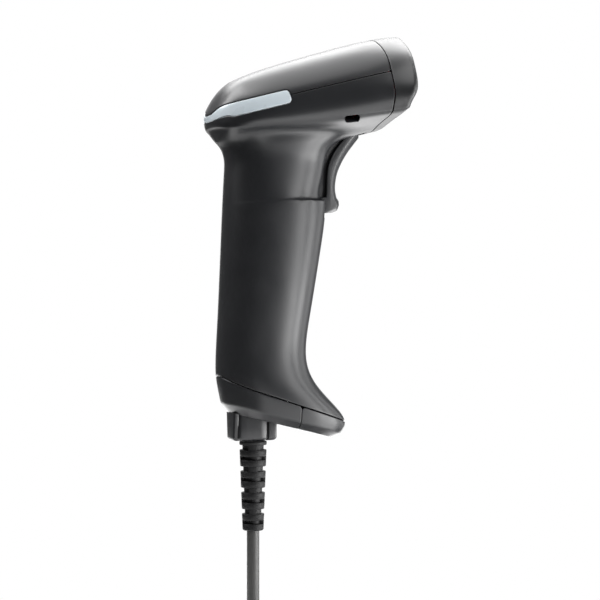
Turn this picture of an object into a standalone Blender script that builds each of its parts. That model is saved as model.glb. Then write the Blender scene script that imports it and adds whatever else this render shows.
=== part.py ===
"""A handheld barcode scanner with its USB cord, as an assembly of separate working parts.

The frame: +X points out of the nose, +Z up, and the scanner is symmetric about the XZ plane. The origin is in
the middle of the grip. Dimensions are in millimetres until MM turns them into Blender's metres.
"""

import math

import bmesh
import bpy
from mathutils import Euler, Matrix, Vector
from mathutils.geometry import interpolate_bezier

MM = 0.001

# Driving dimensions
WALL = 2.2
GAP = 0.3
# The side seam of the head: its height over the origin, and its rise per mm
SEAM_HEIGHT, SEAM_SLOPE = 76.4, 0.258
HEAD_BACK, HEAD_FRONT = -26.8, 66.0
NOSE_X = 45.0  # the joint of the head and the nose bezel
NOSE_NARROWING = 0.018  # how the bezel's sides draw in towards its rim, per mm squared
CHEEK_SPREAD = 0.0012  # how the head widens forwards under its seam, per mm squared
# The nose's open end: a point of its plane, and its lean per mm of height
RIM_X, RIM_Z, RIM_LEAN = 57.4, 95.0, 0.23
BASE_SEAM = ((-40, -29), (-26, -37.5), (-20, -42.6), (-12, -46.2), (10, -53.6), (45, -64.6))
TOE_SPLIT_X = 9.5
# The light bar: its front end, how far it reaches above and below the seam, and its step and rear part
BAR_END_X, BAR_ABOVE, BAR_BELOW, BAR_STEP_X, BAR_REAR_BELOW = 1.5, 2.35, 3.3, -21.5, 2.2
CORD_DIAMETER = 5.4
CORD_X, HOOD_BOTTOM, BOOT_LENGTH = -6.3, -68.4, 38.0
FLOOR = -172.0  # what the coil of cord lies on
CORD_BEND = 20.0
COIL_MEAN, COIL_WIDTH, COIL_HEIGHT, COIL_LIFT = 26.7, 27.0, 10.8, 1.4
COIL_OUTER = COIL_MEAN + COIL_WIDTH / 2
COIL_TURN = COIL_OUTER - CORD_DIAMETER / 2  # radius of the outermost turn at the middle of the cord
COIL_APPROACH = 20.5  # how far from its tangent point the straight cord comes up against the coil
COIL_CENTRE = Vector((CORD_X + COIL_TURN, CORD_BEND + 2 + COIL_APPROACH, 0.0))
STRAP = 1.0  # thickness of the tie's strap
TAIL_BEND, PLUG_Y, PLUG_END = 18.0, -11.0, 46.0
USB_BODY, USB_SHELL = Vector((24.0, 16.0, 8.0)), Vector((18.0, 12.0, 4.5))
TRIGGER_PIVOT = Vector((38.6, 0.0, 71.0))
TRIGGER_HALF, TRIGGER_BULGE, TRIGGER_WEB = 8.6, 4.0, 6.6
BOOT_TURN = math.radians(-20)  # how the boot's slots are turned about the cord
BOARD_ABOVE, BOARD_THICK = -8.0, 1.6  # the main board, square to the seam
BASE_SCREW_X, BASE_SCREW_Y = 5.6, 9.6
SWITCH_ALONG = 26.5

# The grip's rings: height, rise per mm of X, back and front at the middle, half width, power at the front
GRIP_RINGS = (
    (-60.8, -0.25, -16.2, 27.8, 13.6, 2.6),
    (-57.6, -0.27, -20.0, 32.0, 17.0, 2.6),
    (-48.9, -0.30, -22.0, 33.2, 18.1, 2.5),
    (-41.0, -0.22, -22.2, 21.5, 17.3, 2.4),
    (-30.5, -0.05, -22.0, 16.4, 16.6, 2.3),
    (-13.0, 0.00, -21.1, 18.6, 17.0, 2.3),
    (7.0, 0.00, -20.2, 22.0, 17.6, 2.3),
    (24.0, 0.00, -19.5, 24.7, 17.8, 2.3),
    (32.4, 0.06, -19.2, 25.3, 17.7, 2.3),
    (35.2, 0.06, -19.1, 23.8, 17.0, 2.0),
    (44.0, 0.00, -18.6, 24.4, 16.9, 2.2),
    (51.5, 0.04, -18.4, 25.8, 17.3, 2.35),
    (57.6, 0.09, -20.0, 33.5, 18.9, 2.3),
)
# The head's rings: back end, share of the plan's half width, and share of the height (of the belly's depth
# where it is negative, of the crown's where it is positive)
HEAD_RINGS = (
    (-24.2, 0.84, -0.92),
    (-25.6, 0.95, -0.76),
    (-26.5, 1.00, -0.45),
    (-26.8, 0.97, 0.00),
    (-25.4, 0.82, 0.44),
    (-21.0, 0.46, 0.88),
    (-17.4, 0.00, 1.00),
)
RING_ANGLES = (180, 152, 126, 102, 78, 56, 36, 18, 0)
HEAD_SHARES = (0, 0.03, 0.125, 0.27, 0.45, 0.66, 0.86, 1, 1)
CREASES = {0: 1.0, 1: 0.7}
LEDGE_CREASES = {8: 0.5}

ROOT = bpy.data.collections.new("barcode_scanner")
CUTTERS = bpy.data.collections.new("cutters")


def clear_scene():
    for obj in list(bpy.data.objects):
        bpy.data.objects.remove(obj)
    bpy.context.scene.collection.children.link(ROOT)
    bpy.context.scene.collection.children.link(CUTTERS)
    CUTTERS.hide_render = True


def material(name, colour, roughness, metallic=0.0, alpha=1.0):
    made = bpy.data.materials.new(name)
    made.use_nodes = True
    shader = made.node_tree.nodes["Principled BSDF"]
    shader.inputs["Base Color"].default_value = (*colour, 1)
    shader.inputs["Roughness"].default_value = roughness
    shader.inputs["Metallic"].default_value = metallic
    shader.inputs["Alpha"].default_value = alpha
    return made


MATERIALS = {
    "casing": ((0.035, 0.036, 0.038), 0.38, 0),
    "bezel": ((0.045, 0.046, 0.048), 0.45, 0),
    "rubber": ((0.02, 0.02, 0.021), 0.65, 0),
    "light": ((0.72, 0.78, 0.82), 0.3, 0),
    "window": ((0.09, 0.01, 0.012), 0.05, 0),
    "lens": ((0.3, 0.33, 0.4), 0.05, 0),
    "steel": ((0.6, 0.6, 0.62), 0.3, 1),
    "board": ((0.02, 0.13, 0.05), 0.5, 0),
    "component": ((0.03, 0.03, 0.03), 0.5, 0),
    "frame": ((0.2, 0.2, 0.21), 0.5, 0),
    "ivory": ((0.75, 0.72, 0.62), 0.4, 0),
    "ribbon": ((0.7, 0.38, 0.08), 0.4, 0),
}


def finish(obj, name, finish_name, collection=ROOT):
    """Names an object, gives it its own material, puts it in its collection and shades it."""
    obj.name = obj.data.name = name
    for other in list(obj.users_collection):
        other.objects.unlink(obj)
    collection.objects.link(obj)
    if collection is CUTTERS:
        obj.hide_render = True
        obj.display_type = "WIRE"
    else:
        obj.data.materials.clear()
        obj.data.materials.append(material(name, *MATERIALS[finish_name]))
        obj.data.shade_smooth()
        obj.data.set_sharp_from_angle(angle=math.radians(35))
    return obj


def object_of(bm, name, finish_name, collection=ROOT):
    mesh = bpy.data.meshes.new(name)
    bmesh.ops.recalc_face_normals(bm, faces=bm.faces)
    bm.to_mesh(mesh)
    bm.free()
    obj = bpy.data.objects.new(name, mesh)
    ROOT.objects.link(obj)
    return finish(obj, name, finish_name, collection)


def place(obj, centre, tilt):
    obj.location = Vector(centre) * MM
    obj.rotation_euler = Euler((0, tilt, 0))
    return obj


def block(name, finish_name, size, centre, tilt=0.0, bevel=0.0, collection=ROOT):
    """A box of the given size, turned about Y by tilt."""
    bm = bmesh.new()
    bmesh.ops.create_cube(bm, size=1)
    bmesh.ops.scale(bm, vec=Vector(size) * MM, verts=bm.verts)
    obj = place(object_of(bm, name, finish_name, collection), centre, tilt)
    if bevel:
        rounding = obj.modifiers.new("Bevel", "BEVEL")
        rounding.width = bevel * MM
        rounding.segments = 1
    return obj


TURN_TO = {"X": Euler((0, math.pi / 2, 0)), "Y": Euler((math.pi / 2, 0, 0)), "Z": Euler((0, 0, 0))}


def rod(name, finish_name, radius, length, centre, axis="Z", tilt=0.0, sides=16, top=None, collection=ROOT):
    """A cylinder, or a cone where top gives another radius, along an axis and then turned about Y by tilt."""
    bm = bmesh.new()
    ends = {"radius1": radius * MM, "radius2": (radius if top is None else top) * MM}
    bmesh.ops.create_cone(bm, cap_ends=True, segments=sides, depth=length * MM, **ends)
    bmesh.ops.rotate(bm, matrix=TURN_TO[axis].to_matrix(), verts=bm.verts)
    return place(object_of(bm, name, finish_name, collection), centre, tilt)


def mesh_copy(obj):
    """The evaluated shape of an object as a mesh object in world space, in place of the object."""
    bpy.context.view_layer.update()
    graph = bpy.context.evaluated_depsgraph_get()
    mesh = bpy.data.meshes.new_from_object(obj.evaluated_get(graph))
    mesh.transform(obj.matrix_world)
    bm = bmesh.new()
    bm.from_mesh(mesh)
    bmesh.ops.remove_doubles(bm, verts=bm.verts, dist=0.002 * MM)
    bmesh.ops.recalc_face_normals(bm, faces=bm.faces)
    bm.to_mesh(mesh)
    bm.free()
    bpy.data.objects.remove(obj)
    made = bpy.data.objects.new(mesh.name, mesh)
    ROOT.objects.link(made)
    return made


def side_plate(name, finish_name, outline, half_width, y=0.0, collection=ROOT):
    """A flat outline in the XZ plane, given as (x, z) pairs, with the stated half width along Y."""
    curve = bpy.data.curves.new(name, "CURVE")
    curve.dimensions = "2D"
    curve.fill_mode = "BOTH"
    curve.extrude = half_width * MM
    spline = curve.splines.new("POLY")
    spline.points.add(len(outline) - 1)
    for point, (x, z) in zip(spline.points, outline):
        point.co = (x * MM, z * MM, 0, 1)
    spline.use_cyclic_u = True
    obj = bpy.data.objects.new(name, curve)
    obj.rotation_euler = (math.pi / 2, 0, 0)
    obj.location.y = y * MM
    ROOT.objects.link(obj)
    return finish(mesh_copy(obj), name, finish_name, collection)


def cutter_plate(name, outline, half_width=60.0, y=0.0):
    return side_plate(name, None, outline, half_width, y, CUTTERS)


def boolean(obj, other, operation="DIFFERENCE"):
    modifier = obj.modifiers.new(other.name, "BOOLEAN")
    modifier.operation = operation
    modifier.object = other


def tube(name, finish_name, points, radius, sides=3):
    """A round tube along points, with filled caps."""
    curve = bpy.data.curves.new(name, "CURVE")
    curve.dimensions = "3D"
    curve.bevel_depth = radius * MM
    curve.bevel_resolution = sides
    curve.use_fill_caps = True
    spline = curve.splines.new("POLY")
    spline.points.add(len(points) - 1)
    for point, place_at in zip(spline.points, points):
        point.co = (*(Vector(place_at) * MM), 1)
    obj = bpy.data.objects.new(name, curve)
    ROOT.objects.link(obj)
    curve.materials.append(material(name, *MATERIALS[finish_name]))
    return obj


def seam_z(x):
    return SEAM_HEIGHT + SEAM_SLOPE * x


HEAD_TILT = math.atan(SEAM_SLOPE)


def in_head(along, above):
    """(x, z) of a point in the head's own frame: along the seam from X = 0, and square to it."""
    cos, sin = math.cos(HEAD_TILT), math.sin(HEAD_TILT)
    return along * cos - above * sin, SEAM_HEIGHT + along * sin + above * cos


def head_point(along, y, above):
    x, z = in_head(along, above)
    return Vector((x, y, z))


def grip_ring(z, rise, back, front, half, power, inset):
    """Half of a level ring of the grip, as a superellipse with its own power at the front."""
    back += inset
    front -= inset
    half -= inset
    middle, reach = (back + front) / 2, (front - back) / 2
    points = []
    for angle in RING_ANGLES:
        cos, sin = math.cos(math.radians(angle)), math.sin(math.radians(angle))
        bend = 2 / (power if cos > 0 else 2.3)
        x = middle + math.copysign(abs(cos) ** bend, cos) * reach
        y = 0.0 if angle in (0, 180) else half * sin**bend
        points.append((x, y, z + rise * x))
    return points


def head_ring(back, width_share, height_share, inset):
    """Half of a ring of the head, which narrows to the rear, with a crown and a belly of square roots."""
    front = HEAD_FRONT - inset
    points = []
    for number, share in enumerate(HEAD_SHARES):
        x = back + inset + share * (front - back - inset)
        run = max(x - HEAD_BACK, 0.4)
        half = 27 * math.sqrt(run / (run + 10)) + 0.1 * run - inset
        crown = 16.6 * math.sqrt(run / (run + 10)) + 0.016 * run - 0.003 * max(x - 35, 0) ** 2 - inset
        belly = 5.2 + 1.75 * math.sqrt(run) - inset
        height = height_share * (crown if height_share > 0 else belly)
        if height_share < 0:
            change = CHEEK_SPREAD * min(max(x, 0), 60) ** 2
        else:
            beyond = min(max(x - NOSE_X, 0), 15)
            change = -NOSE_NARROWING * beyond**2 * (3.2 if height_share else 2)
        ends = (0, len(HEAD_SHARES) - 1)
        y = 0.0 if number in ends or not width_share else max(half * width_share + change, 1.0)
        points.append((x, y, seam_z(x) + height))
    return points


def under_ring(inset):
    """Half of the ring where the grip's flare meets the underside of the head."""
    xs = (-22.5, -20.5, -13, -1, 14, 30, 46, 58, 60)
    halves = (0, 9, 16.2, 19.4, 20, 18.4, 15, 12, 0)
    points = []
    for x, half in zip(xs, halves):
        z = seam_z(x) - 11 - 0.15 * (x - HEAD_BACK) + inset
        y = max(half - inset, 1.0) if half else 0.0
        points.append((x + inset * (1 if x < 0 else -1), y, z))
    return points


def form_rings(inset):
    """Every ring of the casing's form, from the sole to the crown, moved in by inset."""
    grip = GRIP_RINGS if not inset else [r for n, r in enumerate(GRIP_RINGS) if n not in (1, 8)]
    rings = [grip_ring(*ring, inset) for ring in grip]
    rings[0] = [(x, y, z + 1.5 * inset) for x, y, z in rings[0]]
    rings.append(under_ring(inset))
    return rings + [head_ring(*ring, inset) for ring in HEAD_RINGS]


def cage(rings, name):
    """A closed cage through the half rings and their mirror image, with its sharp edges creased."""
    bm = bmesh.new()
    made = {}

    def corner(ring, column, side):
        x, y, z = rings[ring][column]
        key = (ring, column, side if y else 0)
        if key not in made:
            made[key] = bm.verts.new((x * MM, y * side * MM, z * MM))
        return made[key]

    def face(corners):
        kept = list(dict.fromkeys(corners))
        if len(kept) > 2:
            bm.faces.new(kept)

    last = len(RING_ANGLES) - 1
    for ring in range(len(rings) - 1):
        for column in range(last):
            for side in (1, -1):
                ends = ((ring, column), (ring, column + 1), (ring + 1, column + 1), (ring + 1, column))
                face([corner(*end, side) for end in ends])
    for column in range(last):
        ends = ((column, 1), (column + 1, 1), (column + 1, -1), (column, -1))
        face([corner(0, *end) for end in ends])
    bmesh.ops.recalc_face_normals(bm, faces=bm.faces)
    crease = bm.edges.layers.float.new("crease_edge")
    rows = {vert: key for key, vert in made.items()}
    for edge in bm.edges:
        (ring, column, _), (other, next_column, _) = (rows[vert] for vert in edge.verts)
        if ring == other and len(rings) > len(GRIP_RINGS) + len(HEAD_RINGS):
            ledge = LEDGE_CREASES.get(ring, 0) if min(column, next_column) >= 4 else 0
            edge[crease] = max(CREASES.get(ring, 0), ledge)
    mesh = bpy.data.meshes.new(name)
    bm.to_mesh(mesh)
    bm.free()
    return mesh


def settle(obj, passes=5):
    """Moves the cage out until the smooth surface passes through the stations the cage was made from."""
    mesh = obj.data
    stations = [vert.co.copy() for vert in mesh.vertices]
    for _ in range(passes):
        graph = bpy.context.evaluated_depsgraph_get()
        smooth = obj.evaluated_get(graph).data
        moves = [station - smooth.vertices[n].co for n, station in enumerate(stations)]
        for vert, move in zip(mesh.vertices, moves):
            vert.co += move * 0.9
            if abs(stations[vert.index].y) < 1e-9:
                vert.co.y = 0
        mesh.update()
        bpy.context.view_layer.update()


def form(name, inset=0.0):
    """The casing's whole form, head and grip together, as one smooth closed body."""
    obj = bpy.data.objects.new(name, cage(form_rings(inset), name))
    ROOT.objects.link(obj)
    smooth = obj.modifiers.new("Subdivision", "SUBSURF")
    smooth.levels = smooth.render_levels = 1
    bpy.context.view_layer.update()
    settle(obj)
    return obj


def rim_x(z):
    return RIM_X + RIM_LEAN * (z - RIM_Z)


REAR_XS = (-60, -26.8, -26.3, -25.5, -24.4, -23.2)


def rear_drop(x, depth):
    """How far a line along the seam drops as it wraps round the back of the head, up to depth at the end."""
    return depth * min(max(1 - (x - HEAD_BACK) / 4.8, 0), 1) ** 3


def parting_z(x):
    """The line between the shells, which follows the light bar down round the back."""
    return seam_z(x) - rear_drop(x, 1.9)


def bar_outline(grow):
    """The light bar's band along the seam, thinner behind its step and round at its front, grown by grow."""
    above, below, end = BAR_ABOVE + grow, BAR_BELOW + grow, BAR_END_X + grow
    points = [(x, above - rear_drop(x, 3.0)) for x in REAR_XS]
    for reach, radius, start in ((above, 1.4 + grow, 90), (-below, 1.9 + grow, 0)):
        for n in range(4):
            turn = math.radians(start - 30 * n)
            off = reach + radius * (math.sin(turn) - (1 if start else -1))
            points.append((end - radius + radius * math.cos(turn), off))
    points.append((BAR_STEP_X + 0.8, -below))
    points += [(x, -BAR_REAR_BELOW - grow - rear_drop(x, 1.0)) for x in reversed(REAR_XS)]
    return [(x, seam_z(x) + off / math.cos(HEAD_TILT)) for x, off in points]


def round_arc(centre_x, centre_z, radius, start, stop, steps):
    """Points on an arc in the XZ plane, from one angle in degrees to another."""
    angles = [math.radians(start + (stop - start) * n / steps) for n in range(steps + 1)]
    return [(centre_x + radius * math.cos(a), centre_z + radius * math.sin(a)) for a in angles]


TRIGGER_FRONT = ((38.6, 64.4), (36.3, 61.6), (32.8, 57.1), (30.0, 52.5), (27.9, 47.8), (26.8, 43.0))
TRIGGER_FRONT += ((26.6, 38.7), (27.5, 34.4), (28.6, 32.7))


def trigger_outline():
    """The trigger's side: concave front, toe block, back, the arm that lifts the plunger, and the lug."""
    toe = [(28.4, 31.2), (24.2, 28.7), (22.8, 29.0), (21.0, 32.6)]
    back = [(18.4, 36.4), (17.6, 42.0), (18.2, 48.0), (20.4, 53.6), (23.6, 58.6)]
    arm = [(25.0, 65.6), (24.6, 68.1), (31.0, 69.5), (34.8, 70.6)]
    lug = round_arc(TRIGGER_PIVOT.x, TRIGGER_PIVOT.z, 3.2, 150, -60, 7)
    return [*TRIGGER_FRONT, *toe, *back, *arm, *lug]


def bulged_plate(name, finish_name, outline, front, half_width, bulge):
    """A side plate whose first corners, its front, stand out by bulge in the middle of its width."""
    bm = bmesh.new()
    rings = []
    for share in (-1, -0.75, -0.4, 0, 0.4, 0.75, 1):
        ring = []
        for n, (x, z) in enumerate(outline):
            before, after = outline[n - 1], outline[(n + 1) % len(outline)]
            along = Vector((after[0] - before[0], after[1] - before[1])).normalized()
            out = bulge * (1 - share * share) if n < front else 0
            corner = Vector((x - along.y * out, share * half_width, z + along.x * out))
            ring.append(bm.verts.new(corner * MM))
        rings.append(ring)
    for low, high in zip(rings, rings[1:]):
        for n in range(len(low)):
            bm.faces.new((low[n], low[n - 1], high[n - 1], high[n]))
    bm.faces.new(rings[0])
    bm.faces.new(rings[-1])
    return object_of(bm, name, finish_name)


def build_casing():
    """The shells: the form less its hollow, each cut to its own zone."""
    hollow = form("hollow_form", WALL)
    finish(hollow, "hollow_form", None, CUTTERS)
    half_gap = GAP / 2
    front = NOSE_X - half_gap
    above = [(x, parting_z(x) + half_gap) for x in (*REAR_XS, front)]
    below = [(x, parting_z(x) - half_gap) for x in (front, *reversed(REAR_XS))]
    base_top = [(x, z - half_gap) for x, z in BASE_SEAM]
    base_over = [(x, z + half_gap) for x, z in BASE_SEAM]
    zones = {
        "top_cover": above + [(front, 140), (-60, 140)],
        "body_shell": [(-60, -20), *base_over, (60, -66), (60, 40), (front, 50), *below],
        "base_cap": [(-60, -20), *[p for p in base_top if p[0] < TOE_SPLIT_X]]
        + [(TOE_SPLIT_X - half_gap, -53.5), (TOE_SPLIT_X - half_gap, -80), (-60, -80)],
        "toe_cap": [(TOE_SPLIT_X + half_gap, -53.5), *[p for p in base_top if p[0] > TOE_SPLIT_X]]
        + [(60, -80), (TOE_SPLIT_X + half_gap, -80)],
        "light_bar": bar_outline(0),
        "nose_bezel": [(NOSE_X + half_gap, 50), (rim_x(50), 50), (rim_x(125), 125), (NOSE_X + half_gap, 125)],
    }
    finishes = {"light_bar": "light", "nose_bezel": "bezel"}
    shells = {}
    for name, outline in zones.items():
        shell = form(name)
        boolean(shell, hollow)
        boolean(shell, cutter_plate(name + "_zone", outline), "INTERSECT")
        shells[name] = finish(shell, name, finishes.get(name, "casing"))
    pocket = cutter_plate("bar_pocket", bar_outline(GAP))
    boolean(shells["top_cover"], pocket)
    boolean(shells["body_shell"], pocket)
    return shells


def join(obj, other):
    """Unites a helper's shape with a part, and keeps the helper out of the model."""
    boolean(obj, other, "UNION")


def helper_block(name, size, centre, tilt=0.0):
    return block(name, None, size, centre, tilt, collection=CUTTERS)


def helper_rod(name, radius, length, centre, axis="Z", tilt=0.0, sides=16):
    return rod(name, None, radius, length, centre, axis, tilt, sides, collection=CUTTERS)


def cut_casing(shells):
    """The openings in the shells, and the shelves and bosses inside the lower one."""
    body = shells["body_shell"]
    slot = [(14.0, 33.4), (21.6, 28.0), (30.0, 22.0), (60.0, 30.0), (42.6, 62.6), (43.0, 69.6), (36.0, 76.5)]
    slot += [(24.0, 70.5), (20.6, 60.0), (14.0, 50.0)]
    boolean(body, cutter_plate("trigger_slot", slot, TRIGGER_HALF + GAP))
    port = round_arc(2.3, 0, 1.25, -90, 90, 5) + round_arc(-2.3, 0, 1.25, 90, 270, 5)
    port = [(28.6 + x - z * 0.13, 67.6 + z + x * 0.13) for x, z in port]
    boolean(body, cutter_plate("sound_port", port, 10, -30))
    way_out = helper_rod("cable_way", 6.0, 20, (CORD_X, 0, -60), sides=20)
    base = shells["base_cap"]
    boolean(base, way_out)
    for side in (1, -1):
        end = "left" if side > 0 else "right"
        shelf = helper_block(f"shelf_{end}", (8, 10, 2.5), head_point(-8, side * 14.2, -10.4), -HEAD_TILT)
        join(body, shelf)
        spot = head_point(-8, side * 12, -10.4)
        boolean(body, helper_rod(f"shelf_hole_{end}", 1.1, 9, spot, tilt=-HEAD_TILT))
        x, y = BASE_SCREW_X, side * BASE_SCREW_Y
        join(body, helper_rod(f"boss_{end}", 3.2, 9, (x, y, -46.6), sides=12))
        join(body, helper_block(f"boss_rib_{end}", (2.4, 6.4, 8.4), (x, side * 12.6, -46.2)))
        boolean(body, helper_rod(f"boss_hole_{end}", 1.3, 7, (x, y, -49.5), sides=12))
        join(base, helper_rod(f"cap_boss_{end}", 3.6, 6.2, (x, y, -58.2), sides=12))
        boolean(base, helper_rod(f"cap_bore_{end}", 1.7, 16, (x, y, -58), sides=12))
        boolean(base, helper_rod(f"cap_recess_{end}", 2.9, 6, (x, y, -61.3), sides=12))


def screw(name, shank, length, head, head_height, centre, tilt=0.0, down=True):
    """A screw with its head's outer face at its centre point, whose shank runs down, or else up."""
    turn = 1 if down else -1
    profile = [(0, 0), (head, 0), (head, -head_height), (shank, -head_height), (shank, -length), (0, -length)]
    bm = bmesh.new()
    corners = [bm.verts.new((x * MM, 0, z * turn * MM)) for x, z in profile]
    for first, second in zip(corners, corners[1:]):
        bm.edges.new((first, second))
    turned = {"cent": (0, 0, 0), "axis": (0, 0, 1), "angle": 2 * math.pi, "steps": 12, "use_merge": True}
    bmesh.ops.spin(bm, geom=bm.verts[:] + bm.edges[:], **turned)
    bmesh.ops.remove_doubles(bm, verts=bm.verts, dist=0.001 * MM)
    return place(object_of(bm, name, "steel"), centre, tilt)


def build_window(shells):
    """The window and its gasket, which fill the bezel's opening behind its leaning rim."""
    def slab(name, near, far):
        low, high = rim_x(50), rim_x(125)
        return cutter_plate(name, [(low - near, 50), (high - near, 125), (high - far, 125), (low - far, 50)])

    inside = finish(form("gasket_hollow", WALL + GAP + 1.8), "gasket_hollow", None, CUTTERS)
    window = form("scan_window", WALL + GAP)
    boolean(window, slab("window_slab", 3.6, 5.0), "INTERSECT")
    finish(window, "scan_window", "window")
    gasket = form("window_gasket", WALL + GAP)
    boolean(gasket, inside)
    boolean(gasket, slab("gasket_slab", 5.0 + GAP, 6.4 + GAP), "INTERSECT")
    finish(gasket, "window_gasket", "rubber")


def build_engine():
    """The scan engine on its bracket, whose cheeks also carry the trigger's pin."""
    block("engine_housing", "frame", (18, 25, 14.5), head_point(36, 0, 0.6), -HEAD_TILT, 0.6)
    for name, y, radius in (("imager_lens", 0, 4.2), ("aimer_lens", 9, 2.1), ("illumination_lens", -9, 2.6)):
        rod(name, "lens", radius, 3, head_point(45 + GAP + 1.5, y, 1.4), "X", -HEAD_TILT)
    bracket = block("engine_bracket", "frame", (15, 25, 1.4), head_point(37.5, 0, -7.7), -HEAD_TILT)
    for side in (1, -1):
        end = "left" if side > 0 else "right"
        join(bracket, helper_block(f"cheek_{end}", (8, 2, 9.6), (TRIGGER_PIVOT.x, side * 10.2, 73.6)))
        spot = head_point(33, side * 6.2, -7.7)
        boolean(bracket, helper_rod(f"bracket_hole_{end}", 1.3, 5, spot, tilt=-HEAD_TILT, sides=10))
        spot = head_point(33, side * 6.2, -9.9)
        screw(f"engine_screw_{end}", 0.9, 2.6, 1.9, 0.9, spot, -HEAD_TILT, False)
    boolean(bracket, helper_rod("pin_holes", 1.3, 30, TRIGGER_PIVOT, "Y", sides=12))
    rod("trigger_pin", "steel", 1.0, 23, TRIGGER_PIVOT, "Y", sides=12)


def build_trigger():
    front = len(TRIGGER_FRONT)
    trigger = bulged_plate("trigger", "casing", trigger_outline(), front, TRIGGER_HALF, TRIGGER_BULGE)
    recess = [(35.6, 64.4), (31.4, 59.8), (27.6, 55.0), (25.2, 50.0), (24.4, 45.8), (24.2, 41.3)]
    recess += [(24.2, 35.6), (12, 35.6), (12, 60), (24.0, 60.0), (29.0, 64.8)]
    for end, side in (("left", 1), ("right", -1)):
        middle = side * (TRIGGER_WEB + 3)
        boolean(trigger, cutter_plate(f"trigger_recess_{end}", recess, 3, middle))
    boolean(trigger, helper_rod("trigger_bore", 1.3, 30, TRIGGER_PIVOT, "Y", sides=12))
    trigger.data.transform(Matrix.Translation(-TRIGGER_PIVOT * MM))
    trigger.location = TRIGGER_PIVOT * MM
    turns, wire, radius, low, high = 4, 0.3, 1.7, 69.2, 73.6
    helix = []
    for step in range(turns * 10 + 1):
        angle = 2 * math.pi * step / 10
        height = low + (high - low) * step / (turns * 10)
        helix.append((26.0 + radius * math.cos(angle), 5.4 + radius * math.sin(angle), height))
    tube("trigger_spring", "steel", helix, wire, 1)


def build_electronics():
    under = BOARD_ABOVE - BOARD_THICK / 2 - GAP
    over = BOARD_ABOVE + BOARD_THICK / 2 + GAP
    board = block("main_board", "board", (38, 28, BOARD_THICK), head_point(10.5, 0, BOARD_ABOVE), -HEAD_TILT)
    for side in (1, -1):
        end = "left" if side > 0 else "right"
        spot = head_point(-8, side * 12, BOARD_ABOVE)
        boolean(board, helper_rod(f"board_hole_{end}", 1.2, 5, spot, tilt=-HEAD_TILT, sides=10))
        screw(f"board_screw_{end}", 0.8, 6, 1.9, 1.1, head_point(-8, side * 12, over + 1.1), -HEAD_TILT)
    block("processor_chip", "component", (12, 12, 1.2), head_point(4, 0, over + 0.6), -HEAD_TILT)
    block("ribbon_connector", "ivory", (4, 13, 1.6), head_point(19, 0, over + 0.8), -HEAD_TILT)
    path = [(21.3, over + 0.8), (22.6, over + 1.4), (24.4, over + 4.0), (26.6, over + 4.6)]
    strip = path + [(along, above + 0.35) for along, above in reversed(path)]
    side_plate("ribbon_cable", "ribbon", [in_head(*point) for point in strip], 5.5)
    rod("beeper", "component", 5, 3.6, head_point(12, -6, under - 1.8), tilt=-HEAD_TILT, sides=20)
    spot = head_point(SWITCH_ALONG, 0, under - 1.7)
    switch = block("switch_body", "component", (6, 6, 3.4), spot, -HEAD_TILT)
    bore = head_point(SWITCH_ALONG, 0, under - 3.4)
    boolean(switch, helper_rod("plunger_bore", 1.8, 3.6, bore, tilt=-HEAD_TILT))
    spot = head_point(SWITCH_ALONG, 0, under - 3.8)
    rod("switch_plunger", "ivory", 1.4, 2, spot, tilt=-HEAD_TILT, sides=12)
    block("status_board", "board", (1.2, 13, 7), (-19.4, 0, seam_z(-19.4)))
    for side in (1, -1):
        name = "status_led_left" if side > 0 else "status_led_right"
        block(name, "light", (1.6, 3, 2.4), (-19.4 - 0.6 - GAP - 0.8, side * 3.6, seam_z(-21) - 1.5))
    block("socket_board", "board", (1.6, 20, 22), (3.2, 0, -30.5))
    socket = block("cable_socket", "component", (13, 15, 15), (CORD_X, 0, -42), bevel=0.5)
    boolean(socket, helper_block("socket_mouth", (9.0, 12.2, 15), (CORD_X, 0, -45)))
    block("cable_plug", "ivory", (8.2, 11.4, 11), (CORD_X, 0, -45.4), bevel=0.4)
    rise = [(6.1, 0, -32), (6.1, 0, -20), (3.4, 0, -6), (0.6, 0, 12), (-2.4, 0, 32), (-3.4, 0, 50)]
    rise.append((-2.6, 0, 62))
    tube("harness", "component", smooth(rise, 2), 1.6, 2)


def smooth(points, between):
    """A smooth curve through the points, as points of its own, so many between each two."""
    spots = [Vector(p) for p in points]
    ends = [spots[0] * 2 - spots[1], *spots, spots[-1] * 2 - spots[-2]]
    found = []
    for n in range(1, len(ends) - 2):
        before, start, stop, after = ends[n - 1 : n + 3]
        reach = (stop - start).length / 3
        first = start + (stop - before).normalized() * reach
        second = stop - (after - start).normalized() * reach
        found += interpolate_bezier(start, first, second, stop, between + 2)[:-1]
    return found + [spots[-1]]


def sole_z(x):
    return GRIP_RINGS[0][0] + GRIP_RINGS[0][1] * x


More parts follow.
